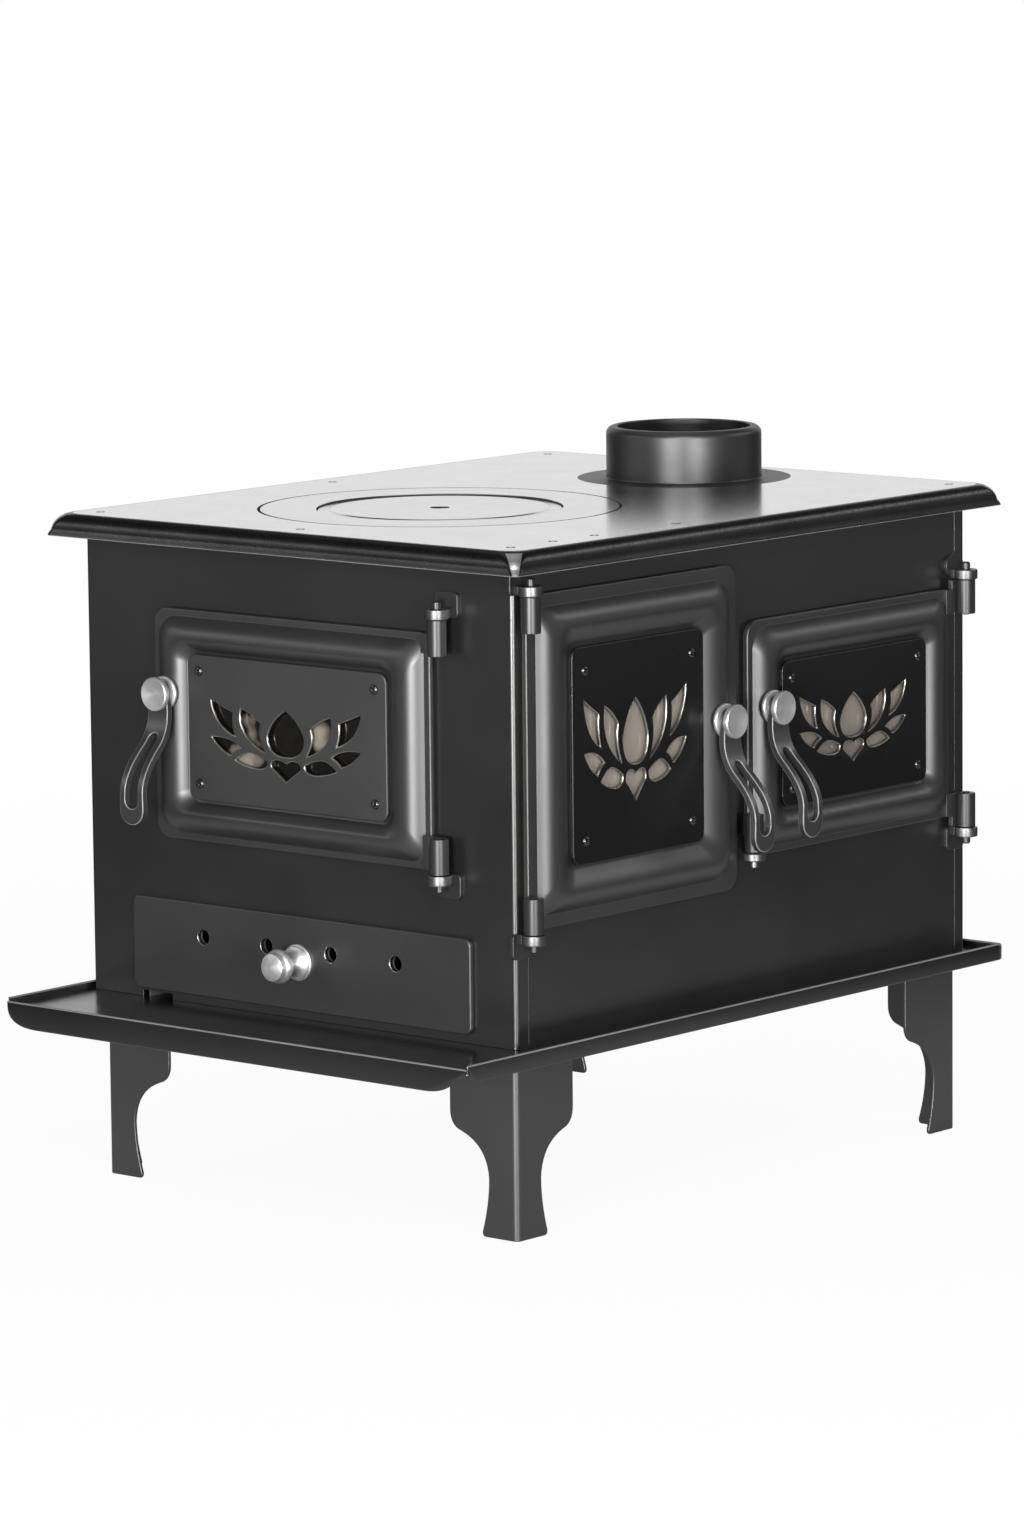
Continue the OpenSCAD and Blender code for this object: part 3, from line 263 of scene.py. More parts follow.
def bake(obj):
    """Writes the modifiers' result into the mesh and removes them."""
    depsgraph = bpy.context.evaluated_depsgraph_get()
    result = bpy.data.meshes.new_from_object(obj.evaluated_get(depsgraph), depsgraph=depsgraph)
    old = obj.data
    obj.modifiers.clear()
    result.name = old.name
    obj.data = result
    bpy.data.meshes.remove(old)

def add_piece(name, bm, material, body, replaced=(), angle=50, extra=()):
    """A bmesh as a piece that rides on a body; faces of index 1 and up take the extras."""
    bmesh.ops.remove_doubles(bm, verts=bm.verts, dist=1e-7)
    bmesh.ops.recalc_face_normals(bm, faces=bm.faces)
    obj = stand(name, smooth_mesh(name, bm, (material, *extra), angle))
    weigh_normals(obj, keep_sharp=True)
    bake(obj)
    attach(obj, body)
    if replaced:
        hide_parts(*replaced)
    return obj

def band(bm, lower, upper, material=0):
    """A round of faces between two rings of vertices, of which one may be a single pole."""
    n = max(len(lower), len(upper))
    if n == 1:
        return
    for k in range(n):
        j = (k + 1) % n
        if len(lower) == 1:
            corners = (lower[0], upper[k], upper[j])
        elif len(upper) == 1:
            corners = (lower[k], lower[j], upper[0])
        else:
            corners = (lower[k], lower[j], upper[j], upper[k])
        bm.faces.new(corners).material_index = material

def fill(bm, rows):
    """Fills the flat area between rings of vertices."""
    edges = []
    for row in rows:
        for i in range(len(row)):
            a, b = row[i - 1], row[i]
            edges.append(bm.edges.get((a, b)) or bm.edges.new((a, b)))
    bmesh.ops.triangle_fill(bm, use_beauty=True, use_dissolve=False, edges=edges)

def prism(bm, outer, holes, v0, v1, put, bevel=0.5, back=None, wall_material=0, hole_bevel=None):
    """A plate between v0 and v1 with rounded edges. put(x, v, z) gives metres."""
    back = bevel if back is None else back
    lows, highs = [], []
    for number, loop in enumerate([outer, *holes]):
        side = 1 if number == 0 else -1
        wide = (hole_bevel or bevel) if number else bevel
        levels = [(v0, back), (v0 + back * EASE, back * EASE), (v0 + back, 0),
                  (v1 - wide, 0), (v1 - wide * EASE, wide * EASE), (v1, wide)]
        rows = []
        for v, d in levels:
            points = inward(loop, d * side) if d else loop
            rows.append([bm.verts.new(put(x, v, z)) for x, z in points])
        for lower, upper in zip(rows, rows[1:]):
            band(bm, lower, upper, wall_material if number else 0)
        lows.append(rows[0])
        highs.append(rows[-1])
    fill(bm, lows)
    fill(bm, highs)

def skin(bm, loops, closed=True):
    """Faces between successive loops of the same length, given as points in metres."""
    rows = [[bm.verts.new(p) for p in loop] for loop in loops]
    pairs = list(zip(rows, rows[1:])) + ([(rows[-1], rows[0])] if closed else [])
    for lower, upper in pairs:
        band(bm, lower, upper)
    return rows

def lathe(bm, profile, centre, axis, steps=64, dark_sides=False):
    """Turns (radius, height) points about an axis in metres; radius 0 closes a pole.

    With dark_sides the steep faces take the piece's second material.
    """
    axis = Vector(axis).normalized()
    one = axis.orthogonal().normalized()
    two = axis.cross(one)
    rows = []
    for r, h in profile:
        base = centre + axis * h * MM
        if r < 1e-6:
            rows.append([bm.verts.new(base)])
            continue
        rows.append([
            bm.verts.new(base + (one * math.cos(math.tau * k / steps)
                                 + two * math.sin(math.tau * k / steps)) * r * MM)
            for k in range(steps)
        ])
    last = 0 if len(rows[0]) > 1 and len(rows[-1]) > 1 else 1
    for i in range(len(rows) - last):
        j = (i + 1) % len(rows)
        (r0, h0), (r1, h1) = profile[i], profile[j]
        steep = dark_sides and abs(h1 - h0) > 1.2 * abs(r1 - r0)
        band(bm, rows[i], rows[j], int(steep))

def tube_profile(r0, r1, h0, h1, c=0.6, c0=0.3):
    """A ring's section with rounded outer edges and eased inner ones."""
    return [
        (r0, h0 + c0), (r0 + c0, h0), (r1 - c, h0), (r1 - c * EASE, h0 + c * EASE), (r1, h0 + c),
        (r1, h1 - c), (r1 - c * EASE, h1 - c * EASE), (r1 - c, h1), (r0 + c0, h1), (r0, h1 - c0),
    ]

def block(bm, x0, x1, v0, v1, z0, z1, put, r=0.6, bevel=0.4):
    """A box with corners of radius r."""
    prism(bm, rounded(x0, z0, x1, z1, r, 3), [], v0, v1, put, bevel)

def dress(node, material, bevel=0.4, angle=40):
    """A CAD node's own shape with eased edges, standing for the node."""
    source = frame["nodes"][node]
    bm = bmesh.new()
    bm.from_mesh(source.data)
    bmesh.ops.remove_doubles(bm, verts=bm.verts, dist=2e-6)
    bmesh.ops.dissolve_limit(
        bm, angle_limit=math.radians(0.6), verts=bm.verts, edges=bm.edges,
        use_dissolve_boundaries=False,
    )
    bmesh.ops.recalc_face_normals(bm, faces=bm.faces)
    name = node + "_dressed"
    obj = stand(name, smooth_mesh(name, bm, (material,), angle))
    ease = obj.modifiers.new("ease", "BEVEL")
    ease.width = bevel * MM
    ease.segments = 2
    ease.limit_method = "ANGLE"
    ease.angle_limit = math.radians(angle)
    ease.miter_outer = "MITER_SHARP"
    weigh_normals(obj, keep_sharp=False)
    bake(obj)
    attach(obj, source["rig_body"])
    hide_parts(node)
    return obj

# ------ materials

def linear(code):
    """sRGB hex to linear red, green, blue, alpha."""
    out = []
    for k in (0, 2, 4):
        c = int(code[k:k + 2], 16) / 255
        out.append(c / 12.92 if c <= 0.04045 else ((c + 0.055) / 1.055) ** 2.4)
    return (*out, 1.0)

class Shader:
    """A material's node tree and one short way to add to it."""

    def __init__(self, name):
        self.material = bpy.data.materials.new(name)
        self.material.use_nodes = True
        self.tree = self.material.node_tree
        self.tree.nodes.clear()
        self.out = self.add("ShaderNodeOutputMaterial")

    def feed(self, socket, value):
        """Links a socket to another one, or gives it a value."""
        if isinstance(value, bpy.types.NodeSocket):
            self.tree.links.new(value, socket)
        else:
            socket.default_value = value

    def add(self, kind, inputs=None, **settings):
        node = self.tree.nodes.new(kind)
        for key, value in settings.items():
            setattr(node, key, value)
        for key, value in (inputs or {}).items():
            self.feed(node.inputs[key], value)
        return node

    def place(self):
        return self.add("ShaderNodeTexCoord").outputs["Object"]

    def noise(self, size_mm, detail=3.0, stretch=(1, 1, 1), rough=0.55):
        scaled = self.add("ShaderNodeMapping", {"Vector": self.place(), "Scale": stretch})
        return self.add("ShaderNodeTexNoise", {
            "Vector": scaled.outputs["Vector"], "Scale": 1000.0 / size_mm,
            "Detail": detail, "Roughness": rough,
        }).outputs["Fac"]

    def span(self, value, low, high, start=0.3, end=0.7):
        """The value stretched from start..end to low..high; noise lies mostly in 0.3..0.7."""
        return self.add("ShaderNodeMapRange", {
            "Value": value, "From Min": start, "From Max": end, "To Min": low, "To Max": high,
        }).outputs["Result"]

    def mix(self, factor, a, b):
        node = self.add("ShaderNodeMix", data_type="RGBA")
        for number, value in ((0, factor), (6, a), (7, b)):
            self.feed(node.inputs[number], value)
        return node.outputs[2]

    def bump(self, height, depth_mm, strength=1.0):
        inputs = {"Height": height, "Distance": depth_mm * MM, "Strength": strength}
        return self.add("ShaderNodeBump", inputs).outputs["Normal"]

    def surface(self, **inputs):
        named = {key.replace("_", " "): value for key, value in inputs.items()}
        bsdf = self.add("ShaderNodeBsdfPrincipled", named)
        self.tree.links.new(bsdf.outputs["BSDF"], self.out.inputs["Surface"])
        return self.material

def stove_paint(name, dark, light, rough=0.4, grain_mm=0.9, sheen_level=0.5):
    """High-temperature silicone paint, sprayed: fine grain, slight drift in shade and sheen.

    Real spray grain is about 0.2 mm; it is drawn coarser, so that it shows at all.
    """
    s = Shader(name)
    drift = s.noise(160, 2)
    grain = s.noise(grain_mm, 2)
    colour = s.mix(s.span(drift, 0, 1), linear(dark), linear(light))
    sheen = s.span(s.noise(60, 3), rough - 0.015, rough + 0.03)
    return s.surface(Base_Color=colour, Roughness=sheen, Normal=s.bump(grain, 0.012),
                     Specular_IOR_Level=sheen_level)

def bright_metal(name, dark, light, rough, stretch=(1, 1, 1), grain_mm=1.2):
    """Bare ground metal: shallow scratches along one direction and a faint cloud in the sheen.

    The scratches are drawn wider than the real ones of about 0.1 mm, so that they show.
    """
    s = Shader(name)
    scratch = s.noise(grain_mm, 3, stretch)
    cloud = s.noise(45, 3)
    colour = s.mix(s.span(cloud, 0, 1), linear(dark), linear(light))
    sheen = s.span(scratch, rough - 0.05, rough + 0.07)
    return s.surface(Base_Color=colour, Metallic=1.0, Roughness=sheen,
                     Normal=s.bump(scratch, 0.004))

def turned_metal(name, centre, axis, dark, light, rough, pitch_mm=0.35):
    """Lathe-turned metal: rings about the turning axis that spread the light along the radius."""
    s = Shader(name)
    moved = s.add("ShaderNodeVectorMath", {0: s.place(), 1: tuple(centre)}, operation="SUBTRACT")
    around = s.add("ShaderNodeVectorMath", {0: moved.outputs["Vector"], 1: tuple(axis)},
                   operation="CROSS_PRODUCT")
    radius = s.add("ShaderNodeVectorMath", {0: around.outputs["Vector"]}, operation="LENGTH")
    outwards = s.add("ShaderNodeVectorMath", {0: tuple(axis), 1: around.outputs["Vector"]},
                     operation="CROSS_PRODUCT")
    wave = s.add("ShaderNodeMath", {0: radius.outputs["Value"], 1: math.tau / (pitch_mm * MM)},
                 operation="MULTIPLY")
    groove = s.add("ShaderNodeMath", {0: wave.outputs["Value"]}, operation="SINE")
    colour = s.mix(s.span(s.noise(12, 3), 0, 1), linear(dark), linear(light))
    return s.surface(Base_Color=colour, Metallic=0.9, Anisotropic=0.35,
                     Tangent=outwards.outputs["Vector"],
                     Roughness=s.span(s.noise(3, 2), rough - 0.03, rough + 0.03),
                     Normal=s.bump(groove.outputs["Value"], 0.001, 0.5))

def knob_metal(name, centre, axis):
    """Turned and brushed aluminium: pale, with a satin fan of light round its middle."""
    return turned_metal("turned and brushed aluminium of the " + name + " knob", centre, axis,
                        "c2c2c2", "d6d6d6", 0.44)

def hazed_glass(name, clear, haze, low, high):
    """Ceramic fire glass with a dry film of smoke that drifts over it."""
    s = Shader(name)
    film = s.span(s.noise(38, 2), 0, 1, low, high)
    colour = s.mix(film, linear(clear), linear(haze))
    return s.surface(Base_Color=colour, Roughness=s.span(s.noise(9, 3), 0.08, 0.2),
                     Specular_IOR_Level=0.5, Coat_Weight=0.3, Coat_Roughness=0.05)

# casing: near black and satin, so that the flat sheets carry a soft wash of the room
PAINT = stove_paint("sprayed stove paint on folded sheet steel", "0e0e0e", "141414", 0.31,
                    sheen_level=1.0)
# doors and drawer: a shade lighter, and matt enough for broad lights on the mouldings
PAINT_DOOR = stove_paint("sprayed stove paint on pressed steel doors", "151515", "1b1b1b", 0.4,
                         sheen_level=1.0)
# cut-out plates: the deepest black, with weak reflections
PAINT_VENT = stove_paint("sprayed stove paint on laser-cut plate", "080808", "0c0c0c", 0.28,
                         sheen_level=0.42)
# plate in front of the fire: greyer and duller than the other two, the same plate paint painted
# lighter as painted light for the light this plate catches
PAINT_VENT_LIT = stove_paint("stove paint dulled by heat on the fire door plate", "191919", "212121",
                        0.5, sheen_level=0.8)
# legs: dark grey with a soft light down the fold
PAINT_LEG = stove_paint("sprayed stove paint on bent leg plate", "171717", "1f1f1f", 0.38,
                        sheen_level=1.0)
# handle straps: dark grey, smooth, a light along each bend
PAINT_STRAP = stove_paint("black enamel on bent strap steel", "1b1b1b", "212121", 0.36,
                          sheen_level=1.0)
# rim of the cooking plate: the plate's steel, made nearly black, still with a metal's reflection
PAINT_RIM = bright_metal("heat-darkened rolled rim of the cooking plate", "3a3a3b", "444445",
                         0.3, grain_mm=1.6)
# tray: black and glossier than the casing, which it mirrors
PAINT_TRAY = stove_paint("sprayed stove paint on the tray", "0a0a0a", "0e0e0e", 0.22,
                         sheen_level=1.0)
# collar: black with wide soft lights down its side
PAINT_COLLAR = stove_paint("semi-gloss enamel on a spun collar", "0e0e0f", "131314", 0.42,
                           sheen_level=1.0)
# hinge barrels and pins: black with one narrow light along each
BARREL = stove_paint("enamel on hinge barrels and pins", "141415", "1b1b1c", 0.38,
                     sheen_level=0.7)
# walls of the cut-outs: a bright thin line round each petal
CUT_EDGE = bright_metal("laser-cut bare steel edge", "8a8884", "aeaca8", 0.3)
# cooking plate: pale ground steel that mirrors the collar, its scratches along the front
TOP = bright_metal("ground cooking plate steel", "cdcdce", "d5d5d6", 0.17, (1, 14, 1), 2.2)
# cooking ring and lid: ground like the plate, a touch darker
RINGS = bright_metal("ground faces of cast cooking rings", "c9c9ca", "d1d1d2", 0.17,
                     (1, 14, 1), 2.2)
# hinge rings: grey turned steel, brighter than the barrels
BRIGHT = bright_metal("turned bright steel of hinge rings", "646465", "7a7a7c", 0.4)
# button screws: black and glossy, seen by a point of light on each
SCREW = stove_paint("black oxide on button screws", "0b0b0b", "121212", 0.2, sheen_level=1.0)
# edges of straps, tray lips and rim: a pale grey that shows under any light, a painted highlight
# as a grey line along the edge
EDGE_HIGHLIGHT = stove_paint("enamel rubbed thin on strap and tray edges", "545454", "686868", 0.36,
                     sheen_level=1.0)
# corners of the rim: a pale metal, a painted highlight where the rounded corners meet the light
RIM_CORNER_HIGHLIGHT = bright_metal("rolled rim rubbed bright at its corners", "a6a6a7", "bcbcbe", 0.4)
# countersunk screws in the cooking plate: pale dots, hardly darker than the plate
ZINC = bright_metal("zinc-plated screw steel", "a8a8a6", "c0c0be", 0.3)
# grate: brown-grey and rough, without shine
IRON = stove_paint("rough cast iron of the grate", "3a3633", "4a4541", 0.75, 2.5)
# sheet inside: brown-grey scale, dull; on the steep walls of the rings and of the plate's holes it
# is painted shade for the dark gaps round ring and lid
INNER_AND_GAP_SHADE = stove_paint("heat-darkened bare sheet inside", "35322f", "45413d", 0.55, 1.6)
# oven: dark grey enamel with a gloss
ENAMEL = stove_paint("oven enamel", "2e2d2c", "3a3837", 0.3, 1.2)
# oven rack and rails: bright plated rod
RACK = bright_metal("plated rod of the oven rack", "b4b4b4", "d0d0d0", 0.18)
# firebricks: buff, dead matt, with a coarse grain
CLAY = stove_paint("pressed firebrick clay", "b39a78", "c9b391", 0.9, 3.0)
# door seals: charcoal and matt; the weave is drawn as a grain of its thread's width
ROPE = stove_paint("woven glass-fibre rope", "232220", "32302d", 0.9, 1.0)
# glass of the fire door: black with pale drifts of smoke
GLASS_FIRE = hazed_glass("smoked ceramic glass of the fire door", "0d0c0b", "6e665d", 0.58, 0.71)
# glass of the window door: evenly hazed to a warm grey
GLASS_WINDOW = hazed_glass("hazed ceramic glass of the window door", "6e6861", "7b746c", 0.3, 0.7)
# glass of the oven door: a shade darker than the window door's
GLASS_OVEN = hazed_glass("hazed ceramic glass of the oven door", "5e5852", "746d65", 0.3, 0.7)
GLASSES = {"fire": GLASS_FIRE, "window": GLASS_WINDOW, "oven": GLASS_OVEN}

# ------ door pieces

def pressing(key, door):
    """The pressed door: one closed skin from its back, over the moulding, to the plate's seat."""
    w, h, mx, mz, put = door["w"], door["h"], door["mx"], door["mz"], door["place"]
    section = []  # (inset across, inset up, v, radius at the free side, radius at the hinge side)

    def step(inset, v, free_r, hinge_r):
        section.append((inset, inset, v, free_r, hinge_r))

    def step_in(beyond, v, r):
        section.append((mx + beyond, mz + beyond, v, r, r))

    # back, rounded edge and flange
    step(13, FLANGE_BACK_V, 10, 8)
    step(0.5, FLANGE_BACK_V, 13.5, 3.5)
    step(0.15, 3.15, 13.8, 3.8)
    step(0, 3.5, 14, 4)
    step(0, 4.8, 14, 4)
    step(0.35, 5.65, 13.7, 3.7)
    step(1.2, FLANGE_V, 13, 3)
    foot, crest = door["foot"], door["foot"] + CREST_IN
    step(foot - 0.7, FLANGE_V, 18, 12)
    step(foot - 0.2, FLANGE_V + 0.1, 18.6, 12.6)
    # an even slope up to a flat crest, then an even slope down to the groove round the plate
    rise = bow((foot, FLANGE_V + 0.2), (foot + 7.5, CREST_V), (crest, CREST_V))
    for k, (inset, v) in enumerate(rise):
        step(inset, v, 19 - 3.5 * k / BOW_STEPS, 13 + 2.5 * k / BOW_STEPS)
    for k in range(BOW_STEPS + 1):
        t, r = k / BOW_STEPS, 15.5 - 4.5 * k / BOW_STEPS
        inset_x, inset_z = (
            (1 - t) ** 2 * crest + 2 * t * (1 - t) * (m - 2.2 - door["fall"]) + t * t * (m - 2.2)
            for m in (mx, mz)
        )
        section.append((inset_x, inset_z, CREST_V - (CREST_V - GROOVE_V) * t * t, r, r))
    # seat under the plate, and back again behind the moulding
    step_in(1.5, GROOVE_V, 8)
    step_in(2, PLATE_V, 8)
    step_in(9.6, PLATE_V, 31)
    step_in(10, PLATE_V - 0.4, 32)
    step_in(10, GROOVE_V, 32)
    step_in(9.6, SEAT_V, 31)
    step(13.4, SEAT_V, 10, 8)
    step(13, 6.1, 10, 8)
    bm = bmesh.new()
    skin(bm, [
        [put(x, v, z) for x, z in rounded(kx, kz, w - kx, h - kz, [rf, rh, rh, rf], 12)]
        for kx, kz, v, rf, rh in section
    ])
    add_piece(key + "_door_pressing", bm, PAINT_DOOR, key + "_door", [key + "_door_frame"],
              angle=60)

def boss(key, door):
    """The sleeve in which the handle's spindle turns."""
    gx, gz = door["grip"]
    bore_r = SPINDLE_R + RUN_GAP
    bm = bmesh.new()
    lathe(bm, [(bore_r, 6), (8.9, 6), (8.6, 8), (8.5, 14.6), (8.3, 15.1), (7.8, 15.3), (4.4, 15.3),
               (bore_r, 15.0)], door["place"](gx, 0, gz), outward(door), 40)
    add_piece(key + "_door_boss", bm, PAINT_DOOR, key + "_door", ())

def barrels(key, door):
    """The two hinge barrels."""
    profile = tube_profile(PIN_R + RUN_GAP, BARREL_R, 0, BARREL_L, 0.5)
    bm = bmesh.new()
    for z in barrel_feet(door):
        lathe(bm, profile, door["place"](door["w"] + door["out"], HINGE_V, z), UP, 40)
    add_piece(key + "_door_barrels", bm, BARREL, key + "_door", ())

def hinge_leaves(key, door):
    """The leaves that carry the barrels, each a foot on the door and an arm to the hinge."""
    w, h, put = door["w"], door["h"], door["place"]
    bm = bmesh.new()
    for z in barrel_feet(door):
        low, high = max(z, 0.5), min(z + BARREL_L, h - 0.5)
        block(bm, w - 7, w + 1.5, LEAF_V0, LEAF_V1, low, high, put, 1.0)
        block(bm, w + 0.5, w + door["out"] - 1, LEAF_V0, LEAF_V1, z + 0.2, z + BARREL_L - 0.2,
              put, 0.8)
    if key == "oven":
        # the leaf of the spare knuckle
        block(bm, -5, 4, LEAF_V0, LEAF_V1, 18.3, 36, put, 0.8)
    add_piece(key + "_door_hinge_leaves", bm, PAINT_DOOR, key + "_door", ())

def cut_plate(key, door):
    """The flat plate with the flower, its cut walls left bare."""
    mx, mz = door["mx"], door["mz"]
    bm = bmesh.new()
    prism(bm, rounded(mx, mz, door["w"] - mx, door["h"] - mz, PLATE_CORNER, 10), flower(door),
          PLATE_V, PLATE_V + PLATE_T, door["place"], 0.9, 0.2, wall_material=1, hole_bevel=0.9)
    # the fire door's plate takes the lighter copy, painted light for the light it catches
    paint = PAINT_VENT_LIT if key == "fire" else PAINT_VENT
    add_piece(key + "_cut_plate", bm, paint, key + "_door", [key + "_vent_plate"],
              extra=(CUT_EDGE,))

def knob(key, door):
    """A spool: spindle, inner disc, neck and a dished outer disc."""
    gx, gz = door["grip"]
    centre, axis = door["place"](gx, 0, gz), outward(door)
    disc, face = 15.5, 25.0
    flat_r = KNOB_R - 1.4
    bm = bmesh.new()
    lathe(bm, [(0, -7.5), (3.7, -7.5), (SPINDLE_R, -7.2), (SPINDLE_R, disc), (flat_r, disc),
               (13.0, disc + 0.35), (KNOB_R, disc + KNOB_EDGE), (KNOB_R, 18.0), (13.0, 18.8),
               (flat_r, 19.2), (7.9, 19.2), (7.5, 19.6), (7.5, face - 0.4), (7.9, face),
               (flat_r, face), (13.0, face + 0.35), (KNOB_R, face + KNOB_EDGE),
               (KNOB_R, face + 3.9), (13.2, face + 4.6), (12.6, face + 5.0), (11.6, face + 4.95),
               (0, face + 3.0)], centre, axis, 96)
    add_piece(key + "_knob", bm, knob_metal(key, centre, axis), key + "_handle",
              [key + "_handle_knob"], angle=35)

def strap_line():
    """Middle line of the strap: outward distance and height from the knob's axis, from the top."""
    near, far = STRAP_V + STRAP_T / 2, STRAP_OUT - STRAP_T / 2
    return (bow((near, 11), (near, 0), (near, -14), 6)
            + bow((near, -14), (near + 0.5, -31), (near + 12, -42), 24)
            + bow((near + 12, -42), (far, -61), (far, -76), 24)
            + [(far, -76.0), (far, -103.0)])

def on_line(line, z):
    """Outward distance of the line at a height, and the line's direction there."""
    for (v0, z0), (v1, z1) in zip(line, line[1:]):
        if z0 >= z >= z1:
            t = (z0 - z) / max(z0 - z1, 1e-9)
            return v0 + (v1 - v0) * t, v1 - v0, z1 - z0
    return line[-1][0] if z < line[-1][1] else line[0][0], 0.0, -1.0

def strap(key, door):
    """Flat slotted strap, cut across in thin slices and then bent along its middle line."""
    outer = racket(0, STRAP_TOP_R, STRAP_TIP_R - STRAP_L, STRAP_TIP_R, 40)
    slot = racket(SLOT_TOP_Z, SLOT_TOP_R, SLOT_LOW_Z, SLOT_LOW_R, 22)
    bm = bmesh.new()
    # flat and in millimetres until it is bent
    prism(bm, outer, [slot, ring(0, 0, STRAP_EYE_R)], -STRAP_T / 2, STRAP_T / 2,
          lambda x, v, z: Vector((x, v, z)), 0.7)
    bm.normal_update()
    # the rounded edges take the pale grey, a painted highlight along each edge
    for face in bm.faces:
        face.material_index = int(0.2 < abs(face.normal.y) < 0.95)
    for k in range(1, 62):
        geometry = bm.verts[:] + bm.edges[:] + bm.faces[:]
        bmesh.ops.bisect_plane(bm, geom=geometry, plane_co=(0, 0, 8 - STRAP_SLICE * k),
                               plane_no=UP, dist=1e-5)
    gx, gz = door["grip"]
    put, line = door["place"], strap_line()
    for vert in bm.verts:
        x, offset, z = vert.co
        v, dv, dz = on_line(line, z)
        length = math.hypot(dv, dz) or 1.0
        # the offset goes across the line, to its outward side
        vert.co = put(gx + x, v - offset * dz / length, gz + z + offset * dv / length)
    add_piece(key + "_strap", bm, PAINT_STRAP, key + "_handle", [key + "_handle_strap"],
              extra=(EDGE_HIGHLIGHT,))

for key, door in DOORS.items():
    for make in (pressing, boss, barrels, hinge_leaves, cut_plate, knob, strap):
        make(key, door)

# ------ screws by Geometry Nodes

def screw_head(name, profile, socket_r, lobe, walls, bottom_z):
    """A screw head with a six-lobed socket, its axis along +Z.

    profile holds (radius, height) from the foot up to the socket's edge, and walls holds
    (height, share of the socket's radius) from there down.
    """
    turns = [math.tau * k / SCREW_STEPS for k in range(SCREW_STEPS)]
    rows = [[(r * math.cos(a), r * math.sin(a), z) for a in turns] for r, z in profile]
    for z, share in walls:
        rows.append([
            ((socket_r + lobe * math.cos(6 * a)) * share * math.cos(a),
             (socket_r + lobe * math.cos(6 * a)) * share * math.sin(a), z) for a in turns])
    bm = bmesh.new()
    made = [[bm.verts.new(Vector(p) * MM) for p in row] for row in rows]
    for lower, upper in zip(made, made[1:]):
        band(bm, lower, upper)
    for row, z in ((made[0], profile[0][1]), (made[-1], bottom_z)):
        band(bm, row, [bm.verts.new((0, 0, z * MM))])
    bmesh.ops.recalc_face_normals(bm, faces=bm.faces)
    return smooth_mesh(name, bm)

def scatter_tree(name):
    """Geometry Nodes that put a screw on each point, along an axis and turned at random."""
    tree = bpy.data.node_groups.new(name + "_nodes", "GeometryNodeTree")
    face = tree.interface
    for label, kind in (("Geometry", "Geometry"), ("Screw", "Object"), ("Axis", "Vector"),
                        ("Seed", "Int"), ("Material", "Material")):
        face.new_socket(label, in_out="INPUT", socket_type="NodeSocket" + kind)
    face.new_socket("Geometry", in_out="OUTPUT", socket_type="NodeSocketGeometry")
    add, link = tree.nodes.new, tree.links.new
    given, given_out = add("NodeGroupInput"), add("NodeGroupOutput")
    info = add("GeometryNodeObjectInfo")
    spin = add("FunctionNodeRandomValue")
    spin.data_type = "FLOAT"
    spin.inputs["Max"].default_value = math.tau
    align = add("FunctionNodeAlignRotationToVector")
    align.axis = "Z"
    turn = add("FunctionNodeAxisAngleToRotation")
    turn.inputs["Axis"].default_value = UP
    both = add("FunctionNodeRotateRotation")
    both.rotation_space = "LOCAL"
    copies = add("GeometryNodeInstanceOnPoints")
    real, paint = add("GeometryNodeRealizeInstances"), add("GeometryNodeSetMaterial")
    link(given.outputs["Screw"], info.inputs["Object"])
    link(given.outputs["Seed"], spin.inputs["Seed"])
    link(given.outputs["Axis"], align.inputs["Vector"])
    # the random value's second output is its float
    link(spin.outputs[1], turn.inputs["Angle"])
    link(align.outputs["Rotation"], both.inputs["Rotation"])
    link(turn.outputs["Rotation"], both.inputs["Rotate By"])
    link(given.outputs["Geometry"], copies.inputs["Points"])
    link(info.outputs["Geometry"], copies.inputs["Instance"])
    link(both.outputs["Rotation"], copies.inputs["Rotation"])
    link(copies.outputs["Instances"], real.inputs["Geometry"])
    link(real.outputs["Geometry"], paint.inputs["Geometry"])
    link(given.outputs["Material"], paint.inputs["Material"])
    link(paint.outputs["Geometry"], given_out.inputs["Geometry"])
    return tree

def scatter(name, screw_mesh, points, axis, spin_seed, material, body, replaced):
    """A screw on each point as one baked piece."""
    holder = bpy.data.meshes.new(name)
    holder.from_pydata([tuple(p) for p in points], [], [])
    obj = stand(name, holder)
    source = stand(name + "_source", screw_mesh)
    tree = scatter_tree(name)
    scatterer = obj.modifiers.new("scatter", "NODES")
    scatterer.node_group = tree
    ids = {s.name: s.identifier for s in tree.interface.items_tree if s.in_out == "INPUT"}
    scatterer[ids["Screw"]] = source
    scatterer[ids["Axis"]] = tuple(axis)
    scatterer[ids["Seed"]] = spin_seed
    scatterer[ids["Material"]] = material
    bake(obj)
    bpy.data.objects.remove(source)
    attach(obj, body)
    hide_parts(*replaced)
    return obj

def plate_screws():
    """Four button screws of 4 mm radius on each cut-out plate."""
    button = screw_head("button_screw", [(4.0, -0.02), (4.0, 0.25), (3.86, 0.75), (3.5, 1.3),
                                         (2.95, 1.75), (2.45, 2.0)],
                        2.0, 0.26, ((2.05, 1.0), (1.0, 0.92)), 0.85)
    for number, (key, door) in enumerate(DOORS.items()):
        dx, dz = door["mx"] + door["screw"][0], door["mz"] + door["screw"][1]
        spots = [(x, z) for x in (dx, door["w"] - dx) for z in (dz, door["h"] - dz)]
        points = [door["place"](x, PLATE_V + PLATE_T, z) for x, z in spots]
        scatter(key + "_button_screws", button, points, outward(door), number + 3, SCREW,
                key + "_door", [key + "_screws"])

